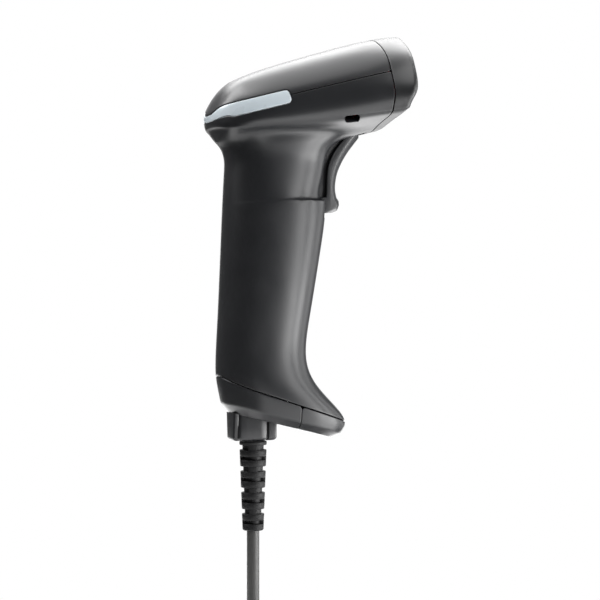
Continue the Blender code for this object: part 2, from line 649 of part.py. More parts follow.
def build_cable():
    """The hood under the foot, the strain relief, the cord with its coil, and the plug at its end."""
    wings = [(-16.6, sole_z(-16.6) - GAP), (2.9, sole_z(2.9) - GAP), (2.7, HOOD_BOTTOM + 1.8)]
    wings += [(1.0, HOOD_BOTTOM), (-14.6, HOOD_BOTTOM), (-16.3, HOOD_BOTTOM + 2)]
    hood = side_plate("cable_hood", "casing", wings, 5.0)
    join(hood, helper_block("hood_pad", (12.5, 12, 7.2), (-8.05, 0, HOOD_BOTTOM + 3.6)))
    join(hood, helper_rod("hood_stem", 5.0, 13.6, (CORD_X, 0, HOOD_BOTTOM + 10), sides=20))
    top = HOOD_BOTTOM - 0.1 - GAP
    middle = Vector((CORD_X, 0, top - BOOT_LENGTH / 2))
    boot = rod("strain_relief", "rubber", 4.5, BOOT_LENGTH, middle, sides=24, top=5.9)
    pitch = 4.55
    for row in range(8):
        z = top - 2.6 - row * pitch
        radius = 5.9 - 1.4 * (top - z) / BOOT_LENGTH
        across = row % 2 == 0
        turn = BOOT_TURN + (0 if across else math.pi / 2)
        depth = 1.6 if across else 1.9
        for side in (1, -1):
            shift = side * (radius - depth + 3)
            centre = (CORD_X + shift * math.cos(turn), shift * math.sin(turn), z)
            slot = helper_block(f"slot_{row}_{side + 1}", (6, 14, 2.1 if across else 1.6), centre)
            slot.rotation_euler.z = turn
            boolean(boot, slot)
    lay = FLOOR + COIL_LIFT + CORD_DIAMETER / 2
    start = top - BOOT_LENGTH - GAP
    straight = [(CORD_X, 0, z) for z in (start, start - 8, start - 18, start - 30)]
    steps = [math.radians(a) for a in (0, 22, 45, 68, 90)]
    bend = [(CORD_X, CORD_BEND * (1 - math.cos(a)), lay + CORD_BEND * (1 - math.sin(a))) for a in steps]
    stop = (CORD_X, COIL_CENTRE.y - COIL_APPROACH, lay)
    tube("cord", "rubber", smooth([*straight, *bend, stop], 1), CORD_DIAMETER / 2, 2)
    build_coil()
    leave = COIL_CENTRE + Vector((COIL_TURN, -COIL_APPROACH, lay + CORD_DIAMETER))
    turn_x, turn_y = leave.x - TAIL_BEND, PLUG_Y + TAIL_BEND
    tail = [leave, (leave.x, turn_y + 6, FLOOR + 4.8)]
    for degrees in (0, 30, 60, 90):
        angle = math.radians(degrees)
        x, y = turn_x + TAIL_BEND * math.cos(angle), turn_y - TAIL_BEND * math.sin(angle)
        tail.append((x, y, FLOOR + 3.2 + 0.8 * degrees / 90))
    tail.append((PLUG_END + GAP, PLUG_Y, FLOOR + USB_BODY.z / 2))
    tube("cord_tail", "rubber", smooth(tail, 1), CORD_DIAMETER / 2, 2)
    plug_z = FLOOR + USB_BODY.z / 2
    block("usb_overmould", "rubber", USB_BODY, (PLUG_END - USB_BODY.x / 2, PLUG_Y, plug_z), bevel=1.2)
    shell_x = PLUG_END - USB_BODY.x - GAP - USB_SHELL.x / 2
    shell = block("usb_shell", "steel", USB_SHELL, (shell_x, PLUG_Y, plug_z))
    mouth = Vector((USB_SHELL.x, USB_SHELL.y - 0.8, USB_SHELL.z - 0.8))
    boolean(shell, helper_block("usb_mouth", mouth, (shell_x - 1, PLUG_Y, plug_z)))
    tongue = (USB_SHELL.x - 2.4, USB_SHELL.y - 1.6, 1.6)
    block("usb_tongue", "ivory", tongue, (shell_x - 0.4, PLUG_Y, plug_z + 0.7))


def build_coil():
    """The stored length of cord as the ring that its turns fill, and the strap that holds it."""
    low = FLOOR + COIL_LIFT
    inner, round_off = COIL_MEAN - COIL_WIDTH / 2, 1.6
    high = low + COIL_HEIGHT
    profile = [(COIL_OUTER - round_off, high), (COIL_OUTER, high - round_off), (COIL_OUTER, low + round_off)]
    profile += [(COIL_OUTER - round_off, low), (inner + round_off, low), (inner, low + round_off)]
    profile += [(inner, high - round_off), (inner + round_off, high)]
    bm = bmesh.new()
    corners = [bm.verts.new((x * MM, 0, z * MM)) for x, z in profile]
    for first, second in zip(corners, corners[1:] + corners[:1]):
        bm.edges.new((first, second))
    coil = object_of(bm, "cord_coil", "rubber")
    coil.location = COIL_CENTRE * MM
    turned = coil.modifiers.new("Screw", "SCREW")
    turned.steps = turned.render_steps = 32
    turned.use_merge_vertices = True
    turned.merge_threshold = 0.00005
    left = COIL_CENTRE.x - COIL_OUTER
    def loop(grow):
        start, end = left - GAP - grow, left + COIL_WIDTH + 1.1 + grow
        bottom, top = low - GAP - grow, high + GAP + grow
        return [(start, bottom), (start, top), (end, top), (end, bottom)]

    tie = side_plate("coil_tie", "component", loop(STRAP), 4, COIL_CENTRE.y)
    boolean(tie, cutter_plate("tie_hole", loop(0), 8, COIL_CENTRE.y))


def main():
    clear_scene()
    shells = build_casing()
    cut_casing(shells)
    build_window(shells)
    build_engine()
    build_trigger()
    build_electronics()
    for end, side in (("left", 1), ("right", -1)):
        spot = (BASE_SCREW_X, side * BASE_SCREW_Y, -60.2)
        screw(f"base_screw_{end}", 1.0, 11.5, 2.5, 1.6, spot, down=False)
    build_cable()


main()
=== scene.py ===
"""The looks of a handheld barcode scanner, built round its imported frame.

Lengths are in millimetres, in the frame's own axes (+X out of the nose, +Z up), until MM turns them
into metres. The casing's form is worked out once as a fine smooth surface. Each shell is cut from it
along its seams, its cut edges are rolled over, and it is given the wall's thickness.
"""

import math

import bmesh
import bpy
import numpy as np
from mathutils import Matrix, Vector
from mathutils.geometry import interpolate_bezier


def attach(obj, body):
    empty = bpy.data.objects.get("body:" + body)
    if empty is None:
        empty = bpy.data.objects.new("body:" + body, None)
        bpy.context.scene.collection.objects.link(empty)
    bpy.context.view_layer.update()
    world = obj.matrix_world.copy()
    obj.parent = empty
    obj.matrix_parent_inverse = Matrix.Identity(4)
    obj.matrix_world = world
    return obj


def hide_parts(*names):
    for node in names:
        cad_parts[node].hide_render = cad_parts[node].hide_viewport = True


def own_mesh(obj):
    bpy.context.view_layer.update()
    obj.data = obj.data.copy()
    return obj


MM = 0.001

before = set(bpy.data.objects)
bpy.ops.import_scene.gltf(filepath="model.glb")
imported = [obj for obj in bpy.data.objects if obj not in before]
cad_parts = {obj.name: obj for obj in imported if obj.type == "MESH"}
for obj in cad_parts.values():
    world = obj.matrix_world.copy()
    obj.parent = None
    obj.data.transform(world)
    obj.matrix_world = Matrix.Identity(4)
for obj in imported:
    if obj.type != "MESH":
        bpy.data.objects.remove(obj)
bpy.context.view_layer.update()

# The form, as in the frame
WALL = 2.2
GAP = 0.3
SEAM_HEIGHT, SEAM_SLOPE = 76.4, 0.258
HEAD_BACK, HEAD_FRONT = -26.8, 66.0
NOSE_X, NOSE_LENGTH, NOSE_NARROWING = 45.0, 15, 0.018
CHEEK_END, CHEEK_SPREAD = 60, 0.0012
BACK_ROUNDING = 10  # how gently the plan and the crown round off at the back
PLAN_HALF, PLAN_FLARE = 27, 0.1
CROWN_HEIGHT, CROWN_RISE, CROWN_DROP, CROWN_DROP_X = 16.6, 0.016, 0.003, 35
BELLY_DEPTH, BELLY_GROWTH = 5.2, 1.75
RIM_X, RIM_Z, RIM_LEAN = 57.4, 95.0, 0.23
BASE_SEAM = ((-40, -29), (-26, -37.5), (-20, -42.6), (-12, -46.2), (10, -53.6), (45, -64.6))
BASE_SEAM_BLEND, BASE_SEAM_COS = 2.4, 0.93
HEAD_COS = math.cos(math.atan(SEAM_SLOPE))
TOE_SPLIT_X = 9.5
BACK_WRAP = 4.8  # how far from the very back the seam and the light bar start to drop
PARTING_DROP, BAR_TOP_DROP, BAR_FOOT_DROP = 1.9, 3.0, 1.0
BAR_END_X, BAR_ABOVE, BAR_BELOW, BAR_REAR_BELOW = 1.5, 2.35, 3.3, 2.2
BAR_STEP_X, BAR_STEP_LENGTH = -21.5, 2.8
BAR_MIDDLE, BAR_TOP_CORNER, BAR_FOOT_CORNER = -0.5, 1.4, 1.9
BASE_SCREW_X, BASE_SCREW_Y, SCREW_HOLE = 5.6, 9.6, 2.9
TRIGGER_PIVOT = Vector((38.6, 0.0, 71.0))
TRIGGER_HALF, TRIGGER_BULGE, TRIGGER_WEB = 8.6, 4.0, 6.6
BOOT_TURN = math.radians(-20)
BOOT_TOP, BOOT_FOOT = 5.9, 4.5
CORD_DIAMETER, CORD_HOLE = 5.4, 5.7
CORD_X, HOOD_BOTTOM, BOOT_LENGTH = -6.3, -68.4, 38.0
BOOT_START = HOOD_BOTTOM - 0.1 - GAP
FLOOR = -172.0
CORD_BEND = 20.0
COIL_MEAN, COIL_WIDTH, COIL_HEIGHT, COIL_LIFT = 26.7, 27.0, 10.8, 1.4
COIL_TURN = COIL_MEAN + COIL_WIDTH / 2 - CORD_DIAMETER / 2
COIL_APPROACH = 20.5
COIL_CENTRE = Vector((CORD_X + COIL_TURN, CORD_BEND + 2 + COIL_APPROACH, 0.0))
TAIL_BEND, PLUG_Y, PLUG_END = 18.0, -11.0, 46.0
USB_BODY, USB_SHELL = Vector((24.0, 16.0, 8.0)), Vector((18.0, 12.0, 4.5))
USB_SHEET = 0.4

# The grip's rings: height, rise per mm of X, back and front at the middle, half width, power at the front
GRIP_RINGS = (
    (-60.8, -0.25, -16.2, 27.8, 13.6, 2.6),
    (-57.6, -0.27, -20.0, 32.0, 17.0, 2.6),
    (-48.9, -0.30, -22.0, 33.2, 18.1, 2.5),
    (-41.0, -0.22, -22.2, 21.5, 17.3, 2.4),
    (-30.5, -0.05, -22.0, 16.4, 16.6, 2.3),
    (-13.0, 0.00, -21.1, 18.6, 17.0, 2.3),
    (7.0, 0.00, -20.2, 22.0, 17.6, 2.3),
    (24.0, 0.00, -19.5, 24.7, 17.8, 2.3),
    (32.4, 0.06, -19.2, 25.3, 17.7, 2.3),
    (35.2, 0.06, -19.1, 23.8, 17.0, 2.0),
    (44.0, 0.00, -18.6, 24.4, 16.9, 2.2),
    (51.5, 0.04, -18.4, 25.8, 17.3, 2.35),
    (57.6, 0.09, -20.0, 33.5, 18.9, 2.3),
)
# The head's rings: back end, share of the half width, share of the crown's height or (below 0) the belly's
HEAD_RINGS = (
    (-24.2, 0.84, -0.92),
    (-25.6, 0.95, -0.76),
    (-26.5, 1.00, -0.45),
    (-26.8, 0.97, 0.00),
    (-25.4, 0.82, 0.44),
    (-21.0, 0.46, 0.88),
    (-17.4, 0.00, 1.00),
)
RING_ANGLES = (180, 152, 126, 102, 78, 56, 36, 18, 0)
HEAD_SHARES = (0, 0.03, 0.125, 0.27, 0.45, 0.66, 0.86, 1, 1)
CREASES = {0: 1.0, 1: 0.7}
LEDGE_CREASES = {8: 0.5}
UNDER_XS = (-22.5, -20.5, -13, -1, 14, 30, 46, 58, 60)
UNDER_HALVES = (0, 9, 16.2, 19.4, 20, 18.4, 15, 12, 0)
UNDER_DEPTH, UNDER_SLOPE = 11, 0.15
GRIP_REAR_POWER = 2.3

# The camera: azimuth, and the point it looks at, to the right of the origin and up, at its distance
VIEW_AZIMUTH = math.radians(-20)
VIEW_DISTANCE, VIEW_SHIFT, VIEW_RISE, VIEW_WIDTH = 760.0, 14.14, -8.57, 257.16

# How finely the casing is made, and the radius of the roll at each kind of edge
FINE_LEVEL = 4
ROLL_STEPS, CUT_STEPS = 4, 16
EDGE, POCKET_EDGE, HOLE_EDGE, FINE_EDGE, LIP_EDGE, RIM_EDGE = 0.15, 0.25, 0.3, 0.2, 0.1, 2.0
SEAM_GAP, SPLIT_GAP, BAR_GAP = 0.22, 0.12, 0.2  # half the seams' and the toe split's widths, the bar's gap
LIP_REACH, LIP_WALL = 1.4, 0.8  # the body's lip behind the head's side seam
LIP_DEPTH, LIP_SHORT = WALL + 0.06, 0.3
FOOT_TOP, HEAD_FOOT = -50, 40  # the foot's holes are under the first, the rim and window over the second

# The window and its gasket, by how far they are set back from the rim
WINDOW_BACK, WINDOW_THICKNESS = 3.6, 1.4
GASKET_FRONT, GASKET_BACK, GASKET_WALL = 5.3, 6.7, 1.8


def add_object(name, data):
    obj = bpy.data.objects.new(name, data)
    bpy.context.scene.collection.objects.link(obj)
    return obj


def seam_z(x):
    return SEAM_HEIGHT + SEAM_SLOPE * x


def rim_x(z):
    return RIM_X + RIM_LEAN * (z - RIM_Z)


# ---- Camera


def across_view(right, back, up):
    """A point in the frame from how far it is to the camera's right, towards the camera, and up."""
    cos, sin = math.cos(VIEW_AZIMUTH), math.sin(VIEW_AZIMUTH)
    return Vector((right * cos + back * sin, right * sin - back * cos, up))


def build_camera():
    camera = add_object("camera", bpy.data.cameras.new("camera"))
    camera.location = across_view(VIEW_SHIFT, VIEW_DISTANCE, VIEW_RISE) * MM
    camera.rotation_euler = (math.pi / 2, 0, VIEW_AZIMUTH)
    camera.data.lens = camera.data.sensor_width * VIEW_DISTANCE / VIEW_WIDTH
    camera.data.clip_end = 50
    bpy.context.scene.camera = camera


# ---- Materials


NOISE_LOW, NOISE_HIGH = 0.3, 0.7  # where nearly all of a noise's values lie


class Nodes:
    """A material's node tree, with short ways to add what these materials are made of."""

    def __init__(self, name):
        self.material = bpy.data.materials.new(name)
        self.material.use_nodes = True
        self.tree = self.material.node_tree
        self.shader = self.tree.nodes["Principled BSDF"]
        self.place = self.add("ShaderNodeTexCoord").outputs["Object"]

    def add(self, kind, **values):
        """A node, with the values of its inputs, whose names are given with _ for each space."""
        node = self.tree.nodes.new(kind)
        for key, value in values.items():
            node.inputs[key.replace("_", " ")].default_value = value
        return node

    def link(self, output, target):
        self.tree.links.new(output, target)

    def noise(self, scale, detail=2.0):
        node = self.add("ShaderNodeTexNoise", Scale=scale, Detail=detail)
        self.link(self.place, node.inputs["Vector"])
        return node.outputs["Fac"]

    def colours(self, value, first, second):
        node = self.add("ShaderNodeValToRGB")
        stops = ((NOISE_LOW, first), (NOISE_HIGH, second))
        for element, (position, colour) in zip(node.color_ramp.elements, stops):
            element.position = position
            element.color = (*colour, 1)
        self.link(value, node.inputs["Fac"])
        self.link(node.outputs["Color"], self.shader.inputs["Base Color"])

    def rough(self, value, low, high):
        node = self.add(
            "ShaderNodeMapRange", From_Min=NOISE_LOW, From_Max=NOISE_HIGH, To_Min=low, To_Max=high
        )
        self.link(value, node.inputs["Value"])
        self.link(node.outputs["Result"], self.shader.inputs["Roughness"])

    def bump(self, value, depth):
        node = self.add("ShaderNodeBump", Distance=depth * MM)
        self.link(value, node.inputs["Height"])
        self.link(node.outputs["Normal"], self.shader.inputs["Normal"])


def moulded(name, dark, light, rough, grain=2600.0, depth=0.006):
    """Moulded plastic or rubber, with a fine grain, a slow drift of colour and uneven roughness."""
    made = Nodes(name)
    made.colours(made.noise(22.0, 3.0), dark, light)
    made.rough(made.noise(75.0, 4.0), rough - 0.03, rough + 0.04)
    made.bump(made.noise(grain), depth)
    return made.material


def metal(name, dark, light, rough):
    made = Nodes(name)
    made.colours(made.noise(120.0, 3.0), dark, light)
    made.rough(made.noise(900.0, 4.0), rough - 0.08, rough + 0.1)
    made.bump(made.noise(3200.0, 3.0), 0.002)
    made.shader.inputs["Metallic"].default_value = 1.0
    return made.material


def board_material():
    """A circuit board: green solder mask with brighter tracks under it."""
    made = Nodes("circuit_board")
    tracks = made.add("ShaderNodeTexBrick", Scale=260.0, Mortar_Size=0.06, Brick_Width=0.9, Row_Height=0.35)
    made.link(made.place, tracks.inputs["Vector"])
    made.colours(tracks.outputs["Fac"], (0.008, 0.07, 0.025), (0.03, 0.16, 0.06))
    made.rough(made.noise(300.0), 0.35, 0.5)
    made.bump(tracks.outputs["Fac"], 0.03)
    return made.material


def make_materials():
    made = {
        "casing": moulded("casing_plastic", (0.0085, 0.009, 0.0105), (0.011, 0.0115, 0.013), 0.33),
        "bezel": moulded("bezel_plastic", (0.012, 0.0125, 0.0135), (0.015, 0.0155, 0.0165), 0.36),
        "trigger": moulded("trigger_plastic", (0.012, 0.0125, 0.014), (0.015, 0.0155, 0.017), 0.36),
        "rubber": moulded("boot_rubber", (0.005, 0.005, 0.0055), (0.008, 0.008, 0.0085), 0.52, 1500.0, 0.012),
        "jacket": moulded("cord_jacket", (0.03, 0.0295, 0.0285), (0.038, 0.0375, 0.036), 0.42, 1900.0, 0.01),
        "component": moulded("component_plastic", (0.012, 0.012, 0.013), (0.02, 0.02, 0.022), 0.48),
        "engine_frame": moulded("engine_plastic", (0.05, 0.05, 0.054), (0.07, 0.07, 0.074), 0.5),
        "ivory": moulded("nylon", (0.62, 0.58, 0.48), (0.7, 0.67, 0.57), 0.42, 2000.0, 0.004),
        "ribbon": moulded("polyimide", (0.5, 0.22, 0.04), (0.62, 0.3, 0.06), 0.34, 900.0, 0.004),
        "light": moulded("light_guide", (0.48, 0.54, 0.58), (0.54, 0.59, 0.62), 0.28, 1800.0, 0.003),
        "lens": moulded("coated_glass", (0.05, 0.06, 0.11), (0.08, 0.1, 0.16), 0.08, 2600.0, 0.0004),
        "window": moulded("window_glass", (0.2, 0.012, 0.014), (0.24, 0.015, 0.018), 0.06, 2600.0, 0.0004),
        "steel": metal("plated_steel", (0.5, 0.5, 0.52), (0.64, 0.64, 0.66), 0.26),
        "gold": metal("gold_contact", (0.66, 0.45, 0.14), (0.76, 0.54, 0.2), 0.22),
        "board": board_material(),
    }
    light = made["light"].node_tree.nodes["Principled BSDF"]
    light.inputs["Subsurface Weight"].default_value = 0.5
    light.inputs["Subsurface Scale"].default_value = 2.0 * MM
    light.inputs["Subsurface Radius"].default_value = (1, 1, 1)
    light.inputs["Coat Weight"].default_value = 0.3
    window = made["window"].node_tree.nodes["Principled BSDF"]
    window.inputs["Transmission Weight"].default_value = 0.9
    made["lens"].node_tree.nodes["Principled BSDF"].inputs["Coat Weight"].default_value = 1.0
    made["rubber"].node_tree.nodes["Principled BSDF"].inputs["Specular IOR Level"].default_value = 0.25
    return made


# The materials, by the look each piece is given
MATERIALS = {}


def piece(obj, look, *nodes, body="scanner"):
    """Gives a finished piece its material and body, in place of its CAD nodes."""
    obj.data.materials.clear()
    obj.data.materials.append(MATERIALS[look])
    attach(obj, body)
    if nodes:
        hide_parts(*nodes)
    return obj


def mesh_object(name, points, faces):
    """A mesh object from points in millimetres, shaded smooth."""
    mesh = bpy.data.meshes.new(name)
    mesh.from_pydata((np.asarray(points, float) * MM).tolist(), [], [list(map(int, f)) for f in faces])
    mesh.validate()
    mesh.shade_smooth()
    return add_object(name, mesh)


# ---- The casing's form


def grip_ring(z, rise, back, front, half, power):
    middle, reach = (back + front) / 2, (front - back) / 2
    points = []
    for angle in RING_ANGLES:
        cos, sin = math.cos(math.radians(angle)), math.sin(math.radians(angle))
        bend = 2 / (power if cos > 0 else GRIP_REAR_POWER)
        x = middle + math.copysign(abs(cos) ** bend, cos) * reach
        y = 0.0 if angle in (0, 180) else half * sin**bend
        points.append((x, y, z + rise * x))
    return points


def head_ring(back, width_share, height_share):
    points = []
    ends = (0, len(HEAD_SHARES) - 1)
    for number, share in enumerate(HEAD_SHARES):
        x = back + share * (HEAD_FRONT - back)
        run = max(x - HEAD_BACK, 0.4)
        rounding = math.sqrt(run / (run + BACK_ROUNDING))
        half = PLAN_HALF * rounding + PLAN_FLARE * run
        crown = CROWN_HEIGHT * rounding + CROWN_RISE * run - CROWN_DROP * max(x - CROWN_DROP_X, 0) ** 2
        belly = BELLY_DEPTH + BELLY_GROWTH * math.sqrt(run)
        height = height_share * (crown if height_share > 0 else belly)
        if height_share < 0:
            change = CHEEK_SPREAD * min(max(x, 0), CHEEK_END) ** 2
        else:
            beyond = min(max(x - NOSE_X, 0), NOSE_LENGTH)
            change = -NOSE_NARROWING * beyond**2 * (3.2 if height_share else 2)
        y = 0.0 if number in ends or not width_share else max(half * width_share + change, 1.0)
        points.append((x, y, seam_z(x) + height))
    return points


def form_rings():
    rings = [grip_ring(*ring) for ring in GRIP_RINGS]
    under = []
    for x, y in zip(UNDER_XS, UNDER_HALVES):
        under.append((x, y, seam_z(x) - UNDER_DEPTH - UNDER_SLOPE * (x - HEAD_BACK)))
    return [*rings, under, *[head_ring(*ring) for ring in HEAD_RINGS]]


def cage(rings):
    """The closed cage through the half rings and their mirror image, with its sharp edges creased."""
    bm = bmesh.new()
    made = {}

    def corner(ring, column, side):
        x, y, z = rings[ring][column]
        key = (ring, column, side if y else 0)
        if key not in made:
            made[key] = bm.verts.new((x * MM, y * side * MM, z * MM))
        return made[key]

    def face(corners):
        kept = list(dict.fromkeys(corners))
        if len(kept) > 2:
            bm.faces.new(kept)

    last = len(RING_ANGLES) - 1
    for ring in range(len(rings) - 1):
        for column in range(last):
            for side in (1, -1):
                ends = ((ring, column), (ring, column + 1), (ring + 1, column + 1), (ring + 1, column))
                face([corner(*end, side) for end in ends])
    for column in range(last):
        ends = ((column, 1), (column + 1, 1), (column + 1, -1), (column, -1))
        face([corner(0, *end) for end in ends])
    bmesh.ops.recalc_face_normals(bm, faces=bm.faces)
    crease = bm.edges.layers.float.new("crease_edge")
    rows = {vert: key for key, vert in made.items()}
    for edge in bm.edges:
        (ring, column, _), (other, next_column, _) = (rows[vert] for vert in edge.verts)
        if ring == other:
            ledge = LEDGE_CREASES.get(ring, 0) if min(column, next_column) >= 4 else 0
            edge[crease] = max(CREASES.get(ring, 0), ledge)
    mesh = bpy.data.meshes.new("form")
    bm.to_mesh(mesh)
    bm.free()
    return mesh


def settle(obj, passes=5):
    """Moves the cage out until the smooth surface passes through the stations the cage was made from."""
    mesh = obj.data
    stations = [vert.co.copy() for vert in mesh.vertices]
    for _ in range(passes):
        graph = bpy.context.evaluated_depsgraph_get()
        smooth = obj.evaluated_get(graph).data
        moves = [station - smooth.vertices[n].co for n, station in enumerate(stations)]
        for vert, move in zip(mesh.vertices, moves):
            vert.co += move * 0.9
            if abs(stations[vert.index].y) < 1e-9:
                vert.co.y = 0
        mesh.update()
        bpy.context.view_layer.update()


def fine_form():
    """The casing's fine surface: its points and normals in millimetres, and its faces."""
    obj = add_object("form", cage(form_rings()))
    smooth = obj.modifiers.new("Subdivision", "SUBSURF")
    smooth.levels = smooth.render_levels = 1
    bpy.context.view_layer.update()
    settle(obj)
    smooth.levels = smooth.render_levels = FINE_LEVEL
    graph = bpy.context.evaluated_depsgraph_get()
    mesh = obj.evaluated_get(graph).to_mesh()
    bm = bmesh.new()
    bm.from_mesh(mesh)
    bpy.data.objects.remove(obj)
    middles = np.array([(edge.verts[0].co + edge.verts[1].co) / 2 for edge in bm.edges]) / MM
    around_port = [edge for edge, away in zip(bm.edges, in_port(middles)) if away < PORT_MARGIN]
    bmesh.ops.subdivide_edges(bm, edges=around_port, cuts=2, use_grid_fill=True)
    bm.normal_update()
    bm.verts.index_update()
    points = np.array([vert.co for vert in bm.verts]) / MM
    normals = np.array([vert.normal for vert in bm.verts])
    faces = [tuple(vert.index for vert in face.verts) for face in bm.faces]
    bm.free()
    return points, normals, faces


# ---- Zones: distance functions in millimetres, negative inside a piece


def over_seam(p):
    return (p[:, 2] - seam_z(p[:, 0])) * HEAD_COS


def rear_drop(x, depth):
    """How far a line along the seam drops as it wraps round the head's back, where it drops by depth."""
    return depth * np.clip(1 - (x - HEAD_BACK) / BACK_WRAP, 0, 1) ** 3


def over_parting(p):
    """The line between the shells, which follows the light bar down round the back."""
    return over_seam(p) + rear_drop(p[:, 0], PARTING_DROP)


def base_seam_z(x):
    """The height of the seam over the foot, with the corners of its line rounded off."""
    xs, zs = zip(*BASE_SEAM)
    shifts = np.linspace(-BASE_SEAM_BLEND, BASE_SEAM_BLEND, 9)
    return sum(np.interp(x + shift, xs, zs) for shift in shifts) / len(shifts)


def over_base(p):
    return (p[:, 2] - base_seam_z(p[:, 0])) * BASE_SEAM_COS


def ahead_of_rim(p):
    return (p[:, 0] - rim_x(p[:, 2])) / math.hypot(1, RIM_LEAN)


def in_bar(p):
    """Distance to the light bar's outline, seen from the side."""
    x, height = p[:, 0], over_seam(p)
    step = np.clip((x - BAR_STEP_X) / BAR_STEP_LENGTH + 0.5, 0, 1)
    below = BAR_REAR_BELOW + (BAR_BELOW - BAR_REAR_BELOW) * step * step * (3 - 2 * step)
    below += rear_drop(x, BAR_FOOT_DROP)
    upper = height > BAR_MIDDLE
    corner = np.where(upper, BAR_TOP_CORNER, BAR_FOOT_CORNER)
    across = np.where(upper, height - BAR_ABOVE + rear_drop(x, BAR_TOP_DROP), -height - below) + corner
    along = x + height * SEAM_SLOPE - BAR_END_X + corner
    outside = np.hypot(np.maximum(across, 0), np.maximum(along, 0))
    return outside + np.minimum(np.maximum(across, along), 0) - corner


def in_outline(x, z, outline):
    """Distance to a closed outline of (x, z) corners, negative inside it."""
    nearest = np.full(len(x), 1e9)
    inside = np.zeros(len(x), bool)
    for (ax, az), (bx, bz) in zip(outline, outline[1:] + outline[:1]):
        dx, dz = bx - ax, bz - az
        share = np.clip(((x - ax) * dx + (z - az) * dz) / (dx * dx + dz * dz), 0, 1)
        nearest = np.minimum(nearest, np.hypot(x - ax - share * dx, z - az - share * dz))
        if dz:
            crosses = ((az > z) != (bz > z)) & (x < ax + (z - az) * dx / dz)
            inside ^= crosses
    return np.where(inside, -nearest, nearest)


SLOT = [(14.0, 33.4), (21.6, 28.0), (30.0, 22.0), (60.0, 30.0), (42.6, 62.6), (43.0, 69.6), (36.0, 76.5)]
SLOT += [(24.0, 70.5), (20.6, 60.0), (14.0, 50.0)]


def in_slot(p):
    side = np.abs(p[:, 1]) - TRIGGER_HALF - GAP
    return np.maximum(side, in_outline(p[:, 0], p[:, 2], SLOT))


PORT_X, PORT_Y, PORT_Z, PORT_HALF, PORT_RADIUS = 28.6, -27.0, 67.6, 2.3, 1.1
PORT_MARGIN = 1.5  # the form is made finer this far round the port
PORT_TILT, PORT_SLANT = math.atan(0.13), 0.36


def in_port(p):
    """Distance to the sound port, a round-ended slot on the right side only, cut aslant into the belly."""
    x, z = p[:, 0] - PORT_X - PORT_SLANT * (p[:, 1] - PORT_Y), p[:, 2] - PORT_Z
    cos, sin = math.cos(PORT_TILT), math.sin(PORT_TILT)
    along = np.clip(x * cos + z * sin, -PORT_HALF, PORT_HALF)
    away = np.hypot(x - along * cos, z - along * sin) - PORT_RADIUS
    return np.maximum(away, p[:, 1])


def in_hole(x, y, radius):
    def distance(p):
        return np.maximum(np.hypot(p[:, 0] - x, p[:, 1] - y) - radius, p[:, 2] - FOOT_TOP)

    return distance


def above_grip(p):
    return HEAD_FOOT - p[:, 2]


def grown(function, amount, sign=1):
    return lambda p: sign * (function(p) - amount)


# ---- Shells


class Zone:
    """Where a piece of the casing lies: its limits, each a distance function and the radius of its edge."""

    def __init__(self, *limits):
        self.limits = limits

    def values(self, p):
        return np.array([function(p) + radius for function, radius in self.limits])

    def total(self, p):
        return self.values(p).max(0)

    def edge(self, p):
        """At each point of the boundary: the radius of the nearest limit, and the way towards that limit."""
        values = self.values(p)
        active = values.argmax(0)
        radii = np.array([radius for _, radius in self.limits])[active]
        step = 0.02
        slopes = []
        for axis in np.eye(3):
            change = self.values(p + axis * step) - self.values(p - axis * step)
            slopes.append(change[active, np.arange(len(p))] / (2 * step))
        return radii, np.array(slopes).T


def normalised(vectors):
    return vectors / np.maximum(np.linalg.norm(vectors, axis=1), 1e-9)[:, None]


def crossing_shares(points, zone, start, stop):
    """How far along each edge, from its end inside the zone, the zone's boundary lies."""
    low, high = np.zeros(len(start)), np.ones(len(start))
    for _ in range(CUT_STEPS):
        middle = (low + high) / 2
        within = zone.total(points[start] + (points[stop] - points[start]) * middle[:, None]) < 0
        low, high = np.where(within, middle, low), np.where(within, high, middle)
    return low[:, None]


def clipped_face(face, inside, crossings, first_new):
    """The corners of a face's inner part, and those of its edges that run along the boundary."""
    kept = []
    for a, b in zip(face, face[1:] + face[:1]):
        if inside[a]:
            kept.append(a)
        if inside[a] != inside[b]:
            kept.append(first_new + crossings[(min(a, b), max(a, b))])
    pairs = zip(kept, kept[1:] + kept[:1])
    return tuple(kept), [(a, b) for a, b in pairs if min(a, b) >= first_new]


def cut(form, zone):
    """The part of the form inside the zone: points, normals, faces, and the new edges along the cut."""
    points, normals, faces = form
    inside = zone.total(points) < 0
    counts = [sum(inside[v] for v in face) for face in faces]
    kept = [face for face, count in zip(faces, counts) if count == len(face)]
    mixed = [face for face, count in zip(faces, counts) if 0 < count < len(face)]
    crossings = {}
    for face in mixed:
        for a, b in zip(face, face[1:] + face[:1]):
            if inside[a] != inside[b]:
                crossings.setdefault((min(a, b), max(a, b)), len(crossings))
    ends = np.array(list(crossings))
    first_in = inside[ends[:, 0]]
    start = np.where(first_in, ends[:, 0], ends[:, 1])
    stop = np.where(first_in, ends[:, 1], ends[:, 0])
    share = crossing_shares(points, zone, start, stop)
    new_points = points[start] + (points[stop] - points[start]) * share
    new_normals = normalised(normals[start] + (normals[stop] - normals[start]) * share)
    rim = []
    for face in mixed:
        clipped, pairs = clipped_face(face, inside, crossings, len(points))
        kept.append(clipped)
        rim += pairs
    points = np.vstack([points, new_points])
    normals = np.vstack([normals, new_normals])
    used = sorted({v for face in kept for v in face})
    place = {v: n for n, v in enumerate(used)}
    faces = [tuple(place[v] for v in face) for face in kept]
    rim = [(place[a], place[b]) for a, b in rim]
    return points[used], normals[used], faces, rim


def joined(parts):
    """The points and faces of several meshes as those of one."""
    points, faces, count = [], [], 0
    for part_points, part_faces in parts:
        points.append(np.asarray(part_points, float))
        faces += [tuple(v + count for v in face) for face in part_faces]
        count += len(part_points)
    return np.vstack(points), faces


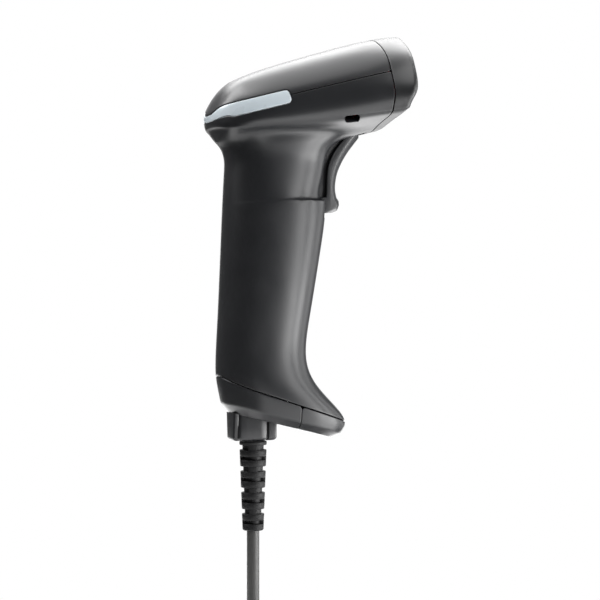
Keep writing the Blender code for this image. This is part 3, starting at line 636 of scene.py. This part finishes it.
def shell_mesh(form, zone, wall=WALL, depth=0.0):
    """Points and faces of a closed shell, at a depth under the form, with its edges rolled over."""
    points, normals, faces, rim = cut(form, zone)
    points = points - normals * depth
    edge = sorted({v for pair in rim for v in pair})
    radii, slopes = zone.edge(points[edge])
    out = normals[edge]
    towards = normalised(slopes - out * (slopes * out).sum(1)[:, None])
    loops = []
    for step in range(1, ROLL_STEPS + 1):
        angle = math.pi / 2 * step / ROLL_STEPS
        roll = towards * (radii * math.sin(angle))[:, None] - out * (radii * (1 - math.cos(angle)))[:, None]
        loops.append(points[edge] + roll)
    loops.append(points[edge] + towards * radii[:, None] - out * wall)
    inner = len(points) + len(loops) * len(edge)
    layers = [np.array(edge)]
    layers += [len(points) + n * len(edge) + np.arange(len(edge)) for n in range(len(loops))]
    layers.append(inner + np.array(edge))
    where = {v: n for n, v in enumerate(edge)}
    built = list(faces)
    for first, second in zip(layers, layers[1:]):
        for a, b in rim:
            near, far = where[a], where[b]
            built.append((first[far], first[near], second[near], second[far]))
    built += [tuple(inner + v for v in reversed(face)) for face in faces]
    return np.vstack([points, *loops, points - normals * wall]), built


def shell(name, *parts):
    return mesh_object(name, *joined(parts))


def casing_zones():
    """Where each shell of the casing lies, and the lip behind the head's side seam."""
    behind_nose = (lambda p: p[:, 0] - NOSE_X + SEAM_GAP, EDGE)
    bar_pocket = (grown(in_bar, BAR_GAP, -1), POCKET_EDGE)
    below_base = (grown(over_base, -SEAM_GAP), POCKET_EDGE)
    holes = [(grown(in_hole(CORD_X, 0, CORD_HOLE), 0.0, -1), HOLE_EDGE)]
    for side in (1, -1):
        hole = in_hole(BASE_SCREW_X, side * BASE_SCREW_Y, SCREW_HOLE)
        holes.append((grown(hole, 0.0, -1), HOLE_EDGE))
    return {
        "top": Zone((grown(over_parting, SEAM_GAP, -1), EDGE), behind_nose, bar_pocket),
        "body": Zone(
            (grown(over_parting, -SEAM_GAP), EDGE),
            (grown(over_base, SEAM_GAP, -1), POCKET_EDGE),
            behind_nose,
            bar_pocket,
            (grown(in_slot, 0.0, -1), HOLE_EDGE),
            (grown(in_port, 0.0, -1), FINE_EDGE),
        ),
        "lip": Zone(
            (grown(over_parting, LIP_REACH), LIP_EDGE),
            (grown(over_parting, -LIP_REACH, -1), LIP_EDGE),
            (lambda p: p[:, 0] - NOSE_X + LIP_SHORT, LIP_EDGE),
            bar_pocket,
        ),
        "base": Zone(below_base, (lambda p: p[:, 0] - TOE_SPLIT_X + SPLIT_GAP, POCKET_EDGE), *holes),
        "toe": Zone(below_base, (lambda p: TOE_SPLIT_X + SPLIT_GAP - p[:, 0], FINE_EDGE)),
        "bar": Zone((in_bar, HOLE_EDGE)),
        "bezel": Zone((lambda p: NOSE_X + SEAM_GAP - p[:, 0], EDGE), (ahead_of_rim, RIM_EDGE)),
    }


def build_shells(form):
    zones = casing_zones()
    lip = shell_mesh(form, zones["lip"], LIP_WALL, LIP_DEPTH)
    for name, zone, look, node, extra in (
        ("top_cover_shell", "top", "casing", "top_cover", []),
        ("body_shell_fine", "body", "casing", "body_shell", [lip]),
        ("base_cap_shell", "base", "casing", "base_cap", []),
        ("toe_cap_shell", "toe", "casing", "toe_cap", []),
        ("light_bar_guide", "bar", "light", "light_bar", []),
        ("nose_bezel_ring", "bezel", "bezel", "nose_bezel", []),
    ):
        piece(shell(name, shell_mesh(form, zones[zone]), *extra), look, node)


# ---- Lofts and turned pieces


def smooth_line(points, between):
    """A smooth curve through the points, as points of its own, so many between each two."""
    spots = [Vector(p) for p in points]
    ends = [spots[0] * 2 - spots[1], *spots, spots[-1] * 2 - spots[-2]]
    found = []
    for n in range(1, len(ends) - 2):
        before, start, stop, after = ends[n - 1 : n + 3]
        reach = (stop - start).length / 3
        first = start + (stop - before).normalized() * reach
        second = stop - (after - start).normalized() * reach
        found += interpolate_bezier(start, first, second, stop, between + 2)[:-1]
    return found + [spots[-1]]


def flat_line(points, between):
    return [(p.x, p.z) for p in smooth_line([(x, 0, z) for x, z in points], between)]


def outward(outline):
    """The outward normal at each corner of a closed outline of (x, z) corners."""
    corners = np.array(outline)
    along = np.roll(corners, -1, 0) - np.roll(corners, 1, 0)
    normals = normalised(np.stack([along[:, 1], -along[:, 0]], 1))
    area = (corners[:, 0] * np.roll(corners[:, 1], -1) - np.roll(corners[:, 0], -1) * corners[:, 1]).sum()
    return normals if area > 0 else -normals


def plate(outline, stations, bulge=None):
    """Points and faces of a plate: its outline at each (y, inset) station, drawn in by the inset."""
    corners, out = np.array(outline), outward(outline)
    rings = []
    for y, inset in stations:
        ring = corners - out * inset
        if bulge is not None:
            ring = ring + out * bulge(y)[:, None]
        rings.append(np.stack([ring[:, 0], np.full(len(ring), y), ring[:, 1]], 1))
    return rings_mesh(rings)


def rings_mesh(rings):
    """Points and faces through closed rings of equal length, with both ends filled."""
    size = len(rings[0])
    faces = []
    for level in range(len(rings) - 1):
        for n in range(size):
            after = (n + 1) % size
            low, high = level * size, (level + 1) * size
            faces.append((low + n, low + after, high + after, high + n))
    faces.append(tuple(range(size))[::-1])
    faces.append(tuple((len(rings) - 1) * size + n for n in range(size)))
    return np.vstack(rings), faces


def rounded_stations(half, radius, middle):
    """Stations across a plate's width whose edges are rounded with the given radius."""
    left = []
    for n in range(ROLL_STEPS, -1, -1):
        angle = math.pi / 2 * n / ROLL_STEPS
        y = -half + radius * (1 - math.sin(angle))
        left.append((round(y, 4), radius * (1 - math.cos(angle))))
    inner = [(float(y), 0.0) for y in np.linspace(-half + radius, half - radius, middle + 2)[1:-1]]
    right = [(-y, inset) for y, inset in reversed(left)]
    return [*left, *inner, *right]


def merged(name, *parts):
    obj = mesh_object(name, *joined(parts))
    bm = bmesh.new()
    bm.from_mesh(obj.data)
    bmesh.ops.recalc_face_normals(bm, faces=bm.faces)
    bm.to_mesh(obj.data)
    bm.free()
    obj.data.set_sharp_from_angle(angle=math.radians(40))
    return obj


def turned(profile, centre=(0, 0), steps=48):
    """Points and faces of a profile of (radius, z), turned about a vertical axis."""
    x, y = centre
    angles = [2 * math.pi * n / steps for n in range(steps)]
    rings = []
    for radius, z in profile:
        ring = [(x + radius * math.cos(a), y + radius * math.sin(a), z) for a in angles]
        rings.append(np.array(ring))
    return rings_mesh(rings)


def arc(cx, cz, radius, start, stop, steps):
    angles = [math.radians(start + (stop - start) * n / steps) for n in range(steps + 1)]
    return [(cx + radius * math.cos(a), cz + radius * math.sin(a)) for a in angles]


# ---- Trigger

TRIGGER_FRONT = ((38.6, 64.4), (36.3, 61.6), (32.8, 57.1), (30.0, 52.5), (27.9, 47.8), (26.8, 43.0))
TRIGGER_FRONT += ((26.6, 38.7), (27.5, 34.4), (28.6, 32.7))


def build_trigger():
    """The lever: a blade with a bulging front and a wide toe, a narrower web behind it, and the arm."""
    front = flat_line(TRIGGER_FRONT, 5)
    toe = [(28.9, 32.0), (28.8, 31.4), (28.2, 30.9), (26.2, 29.75), (24.4, 28.85), (23.6, 28.65)]
    toe += [(22.9, 28.95), (22.2, 30.2), (21.3, 32.2), (20.8, 34.2), (21.1, 35.3)]
    rear = [(24.0, 35.6), (24.2, 41.3), (24.4, 45.8), (25.2, 50.0), (27.6, 55.0), (31.4, 59.8), (35.6, 64.4)]
    blade = front + toe + flat_line(rear, 4)
    shares = np.zeros(len(blade))
    shares[: len(front)] = 1
    shares[len(front) : len(front) + 4] = (0.85, 0.7, 0.5, 0.2)

    def bulge(y):
        return shares * TRIGGER_BULGE * (1 - (y / TRIGGER_HALF) ** 2)

    web = [(35.8, 63.0), (32.0, 58.4), (29.2, 53.4), (26.8, 47.4), (25.6, 42.0), (25.2, 34.0), (21.2, 34.0)]
    web += [(18.4, 36.4), (17.6, 42.0), (18.2, 48.0), (20.4, 53.6), (23.6, 58.6), (25.0, 65.6), (34.8, 66.0)]
    arm = [(24.2, 65.0), (24.6, 68.1), (31.0, 69.5), (34.8, 70.6)]
    arm += arc(TRIGGER_PIVOT.x, TRIGGER_PIVOT.z, 3.2, 150, -60, 14) + [(38.6, 64.8), (35.6, 64.6)]
    parts = [
        plate(blade, rounded_stations(TRIGGER_HALF, 0.4, 14), bulge),
        plate(web, rounded_stations(TRIGGER_WEB, 0.4, 2)),
        plate(arm, rounded_stations(TRIGGER_HALF - 0.4, 0.3, 2)),
    ]
    piece(merged("trigger_lever", *parts), "trigger", "trigger", body="trigger")


# ---- The hood, the boot and the cord


def sole_z(x):
    return GRIP_RINGS[0][0] + GRIP_RINGS[0][1] * x


HOOD_REAR, HOOD_FRONT, HOOD_HALF, HOOD_REACH = -16.6, 2.9, 5.0, 9.7
HOOD_ROUND, HOOD_WING_X = 1.5, -14.6


def hood_side():
    """Half of the hood's plan: the rear wing, the pad that stands out, a groove and the front wing."""
    rear = arc(HOOD_REAR + 0.9, -HOOD_HALF + 0.9, 0.9, 180, 270, 5)
    pad = [(-14.7, -5.0), (-14.4, -5.15), (-14.1, -5.6), (-13.2, -5.9), (-11.0, -6.0), (-8.0, -6.0)]
    pad += [(-5.0, -6.0), (-3.0, -5.9), (-2.1, -5.6), (-1.8, -5.1), (-1.8, -4.1)]
    front = [(-1.0, -4.1), (-1.0, -4.7), (-0.7, -5.0)]
    return rear + pad + front + arc(HOOD_FRONT - 1.0, -HOOD_HALF + 1.0, 1.0, 270, 360, 5)


def build_hood():
    """The collar under the foot, with rounded lower edges, and the stem up through the base."""
    side = hood_side()
    plan = np.array(side + [(x, -y) for x, y in reversed(side)])
    top = np.array([sole_z(x) + 0.25 for x in plan[:, 0]])
    middle = (HOOD_REAR + HOOD_FRONT) / 2
    rings = []
    for share, angle in [(0, 0), (0.5, 0), (1, 0)] + [(1, a) for a in (20, 40, 60, 78)]:
        inset = HOOD_ROUND * (1 - math.cos(math.radians(angle)))
        low = HOOD_BOTTOM + HOOD_ROUND * (1 - math.sin(math.radians(angle)))
        narrow = np.where(plan[:, 0] < HOOD_WING_X, 1.12 - 0.22 * share, 1.0)
        x = middle + (plan[:, 0] - middle) * (1 - inset / HOOD_REACH)
        y = plan[:, 1] * narrow * (1 - inset / HOOD_HALF)
        rings.append(np.stack([x, y, top + (low - top) * share], 1))
    stem = [(5.0, HOOD_BOTTOM + 16.6), (5.0, HOOD_BOTTOM + 4)]
    hood = merged("cable_hood_fine", rings_mesh(rings), turned(stem, (CORD_X, 0)))
    piece(hood, "casing", "cable_hood")


def evaluated_mesh(obj):
    bpy.context.view_layer.update()
    graph = bpy.context.evaluated_depsgraph_get()
    return bpy.data.meshes.new_from_object(obj.evaluated_get(graph))


def boolean_mesh(obj, cutter):
    """Cuts the cutter out of the object, for good, and removes the cutter."""
    modifier = obj.modifiers.new("cut", "BOOLEAN")
    modifier.object = cutter
    modifier.solver = "EXACT"
    mesh = evaluated_mesh(obj)
    obj.modifiers.clear()
    obj.data = mesh
    bpy.data.objects.remove(cutter)


def box_part(size, centre):
    corners = [(x, y, z) for x in (-0.5, 0.5) for y in (-0.5, 0.5) for z in (-0.5, 0.5)]
    points = np.array(corners) * size + np.array(centre)
    faces = [(0, 1, 3, 2), (4, 6, 7, 5), (0, 4, 5, 1), (2, 3, 7, 6), (0, 2, 6, 4), (1, 5, 7, 3)]
    return points, faces


BOOT_PITCH, BOOT_ROWS, BOOT_STEPS = 4.55, 8, 120
BRIDGE_FADE = 3.0


def ease(share):
    share = min(max(share, 0.0), 1.0)
    return share * share * (3 - 2 * share)


def boot_ring(z, inset, groove=None):
    """A ring of the boot, drawn in by inset all round, or by a groove's depth except at its two bridges."""
    outer = BOOT_TOP - (BOOT_TOP - BOOT_FOOT) * (BOOT_START - z) / BOOT_LENGTH
    ring = []
    for n in range(BOOT_STEPS):
        angle = 2 * math.pi * n / BOOT_STEPS
        radius = outer - inset
        if groove:
            turn, depth, bridge = groove
            from_bridge = abs((math.degrees(angle - turn) + 90) % 180 - 90)
            radius = outer - depth * ease((from_bridge - bridge) / BRIDGE_FADE)
        ring.append((CORD_X + radius * math.cos(angle + 1e-4), radius * math.sin(angle + 1e-4), z))
    return np.array(ring)


def build_boot():
    """The strain relief: a tapered boot with slots that take turns on its sides and on its front and back."""
    top, bottom = BOOT_START, BOOT_START - BOOT_LENGTH
    rings = [boot_ring(top, 2.6), boot_ring(top, 0.3), boot_ring(top - 0.3, 0)]
    for row in range(BOOT_ROWS):
        middle = top - 2.6 - row * BOOT_PITCH
        across = row % 2 == 0
        half = 1.05 if across else 0.8
        turn = BOOT_TURN + (math.pi / 2 if across else 0)
        groove = (turn, 1.25 if across else 1.7, 19 if across else 12)
        rings += [boot_ring(middle + half + 0.2, 0), boot_ring(middle + half, 0.12)]
        rings += [boot_ring(middle + side * (half - 0.06), 0, groove) for side in (1, -1)]
        rings += [boot_ring(middle - half, 0.12), boot_ring(middle - half - 0.2, 0)]
    rings += [boot_ring(bottom + 0.4, 0), boot_ring(bottom, 0.35), boot_ring(bottom, 1.6)]
    boot = merged("strain_relief_boot", rings_mesh(rings))
    piece(boot, "rubber", "strain_relief")


COIL_TURNS_IN, COIL_TURNS_OUT = 5, 4.5
COIL_STEPS = 30
COIL_JOG, COIL_RISE = 0.2, 0.28  # shares of a turn: to step sideways, and to rise
COIL_LOW = FLOOR + COIL_LIFT + CORD_DIAMETER / 2


def coil_point(turn):
    """The cord's middle at a turn of the coil: inwards on the floor, then outwards on top of that."""
    last = COIL_TURNS_IN - 1
    outwards = turn >= COIL_TURNS_IN
    done = turn - COIL_TURNS_IN if outwards else turn
    whole = min(int(done), last)
    part = done - whole
    step = whole + (ease((part - 1 + COIL_JOG) / COIL_JOG) if whole < last else 0.0)
    radius = COIL_TURN - CORD_DIAMETER * (last - step if outwards else step)
    rising = ease((part - 1 + COIL_RISE) / COIL_RISE) if whole == last else 0.0
    lift = 1.0 if outwards else rising
    angle = math.pi - 2 * math.pi * turn
    x, y = COIL_CENTRE.x + radius * math.cos(angle), COIL_CENTRE.y + radius * math.sin(angle)
    return Vector((x, y, COIL_LOW + CORD_DIAMETER * lift))


def cord_route():
    """The cord from the boot, down to the floor, round the coil and on to the plug."""
    start = BOOT_START - BOOT_LENGTH - GAP
    straight = [(CORD_X, 0, z) for z in (start, start - 8, start - 18, start - 30)]
    steps = [math.radians(a) for a in (0, 22, 45, 68, 90)]
    bend = [(CORD_X, CORD_BEND * (1 - math.cos(a)), COIL_LOW + CORD_BEND * (1 - math.sin(a))) for a in steps]
    turns = int((COIL_TURNS_IN + COIL_TURNS_OUT) * COIL_STEPS)
    coil = [coil_point(n / COIL_STEPS) for n in range(turns + 1)]
    leave = COIL_CENTRE + Vector((COIL_TURN, -COIL_APPROACH, COIL_LOW + CORD_DIAMETER))
    turn_x, turn_y = leave.x - TAIL_BEND, PLUG_Y + TAIL_BEND
    tail = [leave, (leave.x, turn_y + 6, FLOOR + 4.8)]
    for degrees in (0, 30, 60, 90):
        angle = math.radians(degrees)
        x, y = turn_x + TAIL_BEND * math.cos(angle), turn_y - TAIL_BEND * math.sin(angle)
        tail.append((x, y, FLOOR + 3.2 + 0.8 * degrees / 90))
    tail.append((PLUG_END + GAP, PLUG_Y, FLOOR + USB_BODY.z / 2))
    before = smooth_line([*straight, *bend, coil[0]], 3)
    after = smooth_line([coil[-1], *tail], 3)
    return [*before[:-1], *coil, *after[1:]]


def curve_object(name, points, radius, resolution=5):
    curve = bpy.data.curves.new(name, "CURVE")
    curve.dimensions = "3D"
    curve.bevel_depth = radius * MM
    curve.bevel_resolution = resolution
    curve.use_fill_caps = True
    spline = curve.splines.new("POLY")
    spline.points.add(len(points) - 1)
    for point, spot in zip(spline.points, points):
        point.co = (*(Vector(spot) * MM), 1)
    spline.use_smooth = True
    return add_object(name, curve)


def bevel(obj, width, segments):
    rounding = obj.modifiers.new("Bevel", "BEVEL")
    rounding.width = width * MM
    rounding.segments = segments


def build_plug():
    """The USB plug: the overmould, the folded steel shell with its two holes, and the tongue's contacts."""
    z = FLOOR + USB_BODY.z / 2
    x = PLUG_END - USB_BODY.x / 2
    body = merged("usb_overmould_fine", box_part(USB_BODY, (x, PLUG_Y, z)))
    bevel(body, 1.2, 4)
    piece(body, "jacket", "usb_overmould")
    shell_x = PLUG_END - USB_BODY.x - GAP - USB_SHELL.x / 2
    steel = merged("usb_shell_fine", box_part(USB_SHELL, (shell_x, PLUG_Y, z)))
    inside = USB_SHELL - Vector((0, 2 * USB_SHEET, 2 * USB_SHEET))
    boolean_mesh(steel, merged("usb_inside", box_part(inside, (shell_x - 1, PLUG_Y, z))))
    for end in (-3.0, 3.0):
        hole = box_part((2.4, 2.0, 12), (shell_x - 2.6, PLUG_Y + end, z))
        boolean_mesh(steel, merged("usb_hole", hole))
    piece(steel, "steel", "usb_shell")
    contacts = []
    for y in (-3.45, -1.15, 1.15, 3.45):
        contacts.append(box_part((8.5, 1.1, 0.1), (shell_x - 3.0, PLUG_Y + y, z - 0.12)))
    piece(merged("usb_contacts", *contacts), "gold")
    return body, steel


TIE_HALF, TIE_SLACK = 4.0, 1.1


def build_tie():
    """The strap round the coil, 1 mm thick."""
    low = FLOOR + COIL_LIFT
    left = COIL_CENTRE.x - COIL_MEAN - COIL_WIDTH / 2
    start, end = left - GAP, left + COIL_WIDTH + TIE_SLACK
    bottom, top = low - GAP, low + COIL_HEIGHT + GAP
    loop = [(start, bottom), (start, top), (end, top), (end, bottom)]
    loop += [(start - 1, bottom - 1), (start - 1, top + 1), (end + 1, top + 1), (end + 1, bottom - 1)]
    points, faces = [], []
    for y in (COIL_CENTRE.y - TIE_HALF, COIL_CENTRE.y + TIE_HALF):
        points += [(x, y, z) for x, z in loop]
    for n in range(4):
        after = (n + 1) % 4
        faces.append((n, after, 8 + after, 8 + n))
        faces.append((4 + n, 12 + n, 12 + after, 4 + after))
        faces.append((n, 4 + n, 4 + after, after))
        faces.append((8 + n, 8 + after, 12 + after, 12 + n))
    tie = merged("coil_tie_strap", (points, faces))
    bevel(tie, 0.35, 3)
    piece(tie, "component", "coil_tie")
    return tie


def build_cord():
    route = cord_route()
    cord = curve_object("usb_cord", route, CORD_DIAMETER / 2)
    piece(cord, "jacket", "cord", "cord_coil", "cord_tail")
    body, steel = build_plug()
    tie = build_tie()


# ---- Inside

INSIDE = {
    "engine_frame": ("engine_housing", "engine_bracket"),
    "lens": ("imager_lens", "aimer_lens", "illumination_lens"),
    "steel": (
        "engine_screw_left",
        "engine_screw_right",
        "board_screw_left",
        "board_screw_right",
        "trigger_pin",
    ),
    "board": ("main_board", "status_board", "socket_board"),
    "component": ("processor_chip", "beeper", "switch_body", "cable_socket"),
    "ivory": ("ribbon_connector", "switch_plunger", "cable_plug", "usb_tongue"),
    "ribbon": ("ribbon_cable",),
    "light": ("status_led_left", "status_led_right"),
    "jacket": ("harness",),
}


def dress_inside():
    """The frame's own nodes that keep their shape, each with its material."""
    for look, names in INSIDE.items():
        for name in names:
            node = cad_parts[name]
            node.data.materials.clear()
            node.data.materials.append(MATERIALS[look])


def plate_across(name, form, back, thickness):
    """A plate with the form's own outline, parallel to the rim and set back from it."""
    ahead = Zone((lambda p: -ahead_of_rim(p) - back, 0.0), (above_grip, 0.0))
    points, _, _, rim = cut(form, ahead)
    after = dict(rim)
    loop = [rim[0][0]]
    while after[loop[-1]] != loop[0]:
        loop.append(after[loop[-1]])
    ring = points[loop]
    out = normalised(ring - ring.mean(0))
    lean = np.array(Vector((1, 0, -RIM_LEAN)).normalized())
    stations = ((0, 0.5), (0.15, 0.12), (0.5, 0), (thickness, 0))
    return merged(name, rings_mesh([ring - out * inset - lean * depth for depth, inset in stations]))


def build_window(form):
    """The window and its gasket, set back in the bezel behind its rim."""
    points, normals, faces = form
    within = (points - normals * (WALL + GAP), normals, faces)
    window = plate_across("scan_window_plate", within, WINDOW_BACK, WINDOW_THICKNESS)
    piece(window, "window", "scan_window")
    behind = (lambda p: ahead_of_rim(p) + GASKET_FRONT, FINE_EDGE)
    before = (lambda p: -ahead_of_rim(p) - GASKET_BACK, FINE_EDGE)
    gasket_zone = Zone(behind, before, (above_grip, FINE_EDGE))
    gasket = shell("window_gasket_ring", shell_mesh(within, gasket_zone, GASKET_WALL))
    piece(gasket, "rubber", "window_gasket")


# The foot's screws, turned: radius, and height over the head's lowest face
SCREW_PROFILE = ((0.6, 11.5), (1.0, 11.0), (1.0, 1.6), (2.4, 1.6), (2.5, 1.5), (2.5, 0.4))
SCREW_PROFILE += ((2.2, 0.1), (1.5, 0))
BASE_SCREW_Z = -60.2


def build_screws():
    """The two screws in the foot, whose heads have a cross recess."""
    for side, end in ((1, "left"), (-1, "right")):
        x, y, z = BASE_SCREW_X, side * BASE_SCREW_Y, BASE_SCREW_Z
        profile = [(radius, z + up) for radius, up in SCREW_PROFILE]
        screw = merged(f"base_screw_{end}_fine", turned(profile, (x, y), 40))
        for size in ((2.6, 0.6, 1.6), (0.6, 2.6, 1.6)):
            boolean_mesh(screw, merged("slot", box_part(size, (x, y, z))))
        screw.data.set_sharp_from_angle(angle=math.radians(35))
        piece(screw, "steel", f"base_screw_{end}")


SPRING_X, SPRING_Y, SPRING_WIRE = 26.0, 5.4, 0.3


def build_spring():
    """The trigger's return spring, a helix of steel wire."""
    turns, steps, radius, low, high = 4, 24, 1.7, 69.2, 73.6
    helix = []
    for step in range(turns * steps + 1):
        angle = 2 * math.pi * step / steps
        height = low + (high - low) * step / (turns * steps)
        helix.append((SPRING_X + radius * math.cos(angle), SPRING_Y + radius * math.sin(angle), height))
    curve = curve_object("spring_curve", helix, SPRING_WIRE, 2)
    mesh = evaluated_mesh(curve)
    bpy.data.objects.remove(curve)
    spring = add_object("trigger_spring_fine", mesh)
    piece(spring, "steel", "trigger_spring")
    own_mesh(spring)


# ---- Stage


def area_light(name, place, size, power):
    """A lamp that faces the object and doesn't show to the camera."""
    lamp = bpy.data.lights.new(name, "AREA")
    lamp.shape = "RECTANGLE"
    lamp.size, lamp.size_y = size[0] * MM, size[1] * MM
    lamp.energy = power
    obj = add_object(name, lamp)
    obj.location = place * MM
    way = (Vector(LAMP_AIM) - place) * MM
    obj.rotation_euler = way.to_track_quat("-Z", "Y").to_euler()
    obj.visible_camera = False


def light_world(tree):
    """A dim, even light from all round, and plain white where the camera sees past the object."""
    shown, room = tree.nodes["Background"], tree.nodes.new("ShaderNodeBackground")
    for light, strength in ((shown, 1.0), (room, WORLD_LIGHT)):
        light.inputs["Color"].default_value = (1, 1, 1, 1)
        light.inputs["Strength"].default_value = strength
    seen = tree.nodes.new("ShaderNodeLightPath")
    mix = tree.nodes.new("ShaderNodeMixShader")
    tree.links.new(seen.outputs["Is Camera Ray"], mix.inputs["Fac"])
    tree.links.new(room.outputs[0], mix.inputs[1])
    tree.links.new(shown.outputs[0], mix.inputs[2])
    tree.links.new(mix.outputs[0], tree.nodes["World Output"].inputs["Surface"])


STUDIO = (
    # name, where (to the right, towards the camera, up), size, power in watts
    ("above", (0, 60, 700), (600, 620), 3.0),
    ("above_behind", (0, -450, 600), (900, 400), 7.4),
    ("above_left", (-450, 0, 550), (400, 600), 7.0),
    ("right", (700, 0, 60), (250, 800), 3.2),
    ("right_front", (600, 350, 60), (250, 800), 3.6),
    ("right_behind", (600, -350, 60), (250, 800), 1.3),
    ("behind", (0, -700, 60), (500, 900), 1.7),
    ("low_right", (450, 100, -250), (400, 400), 3.0),
    ("low_front", (150, 400, -300), (400, 300), 1.0),
    ("low_behind", (0, -450, -280), (700, 300), 1.9),
)
LAMP_AIM = (5, 0, 20)
WORLD_LIGHT = 0.12
FLOOR_RADIUS, FLOOR_DEPTH = 190, 4


def build_stage():
    disc = [(FLOOR_RADIUS, FLOOR), (FLOOR_RADIUS, FLOOR - FLOOR_DEPTH)]
    floor = merged("floor", turned(disc, steps=64))
    made = Nodes("floor")
    made.colours(made.noise(3.0), (0.86, 0.86, 0.86), (0.88, 0.88, 0.88))
    made.shader.inputs["Roughness"].default_value = 0.7
    floor.data.materials.append(made.material)
    world = bpy.data.worlds.new("studio")
    bpy.context.scene.world = world
    world.use_nodes = True
    light_world(world.node_tree)
    bpy.context.scene.view_settings.view_transform = "Standard"
    bpy.context.scene.view_settings.look = "None"
    for name, place, size, power in STUDIO:
        area_light(name, across_view(*place), size, power)


def main():
    build_camera()
    MATERIALS.update(make_materials())
    build_cord()
    form = fine_form()
    build_shells(form)
    build_window(form)
    build_trigger()
    build_hood()
    build_boot()
    build_screws()
    build_spring()
    dress_inside()
    build_stage()


main()
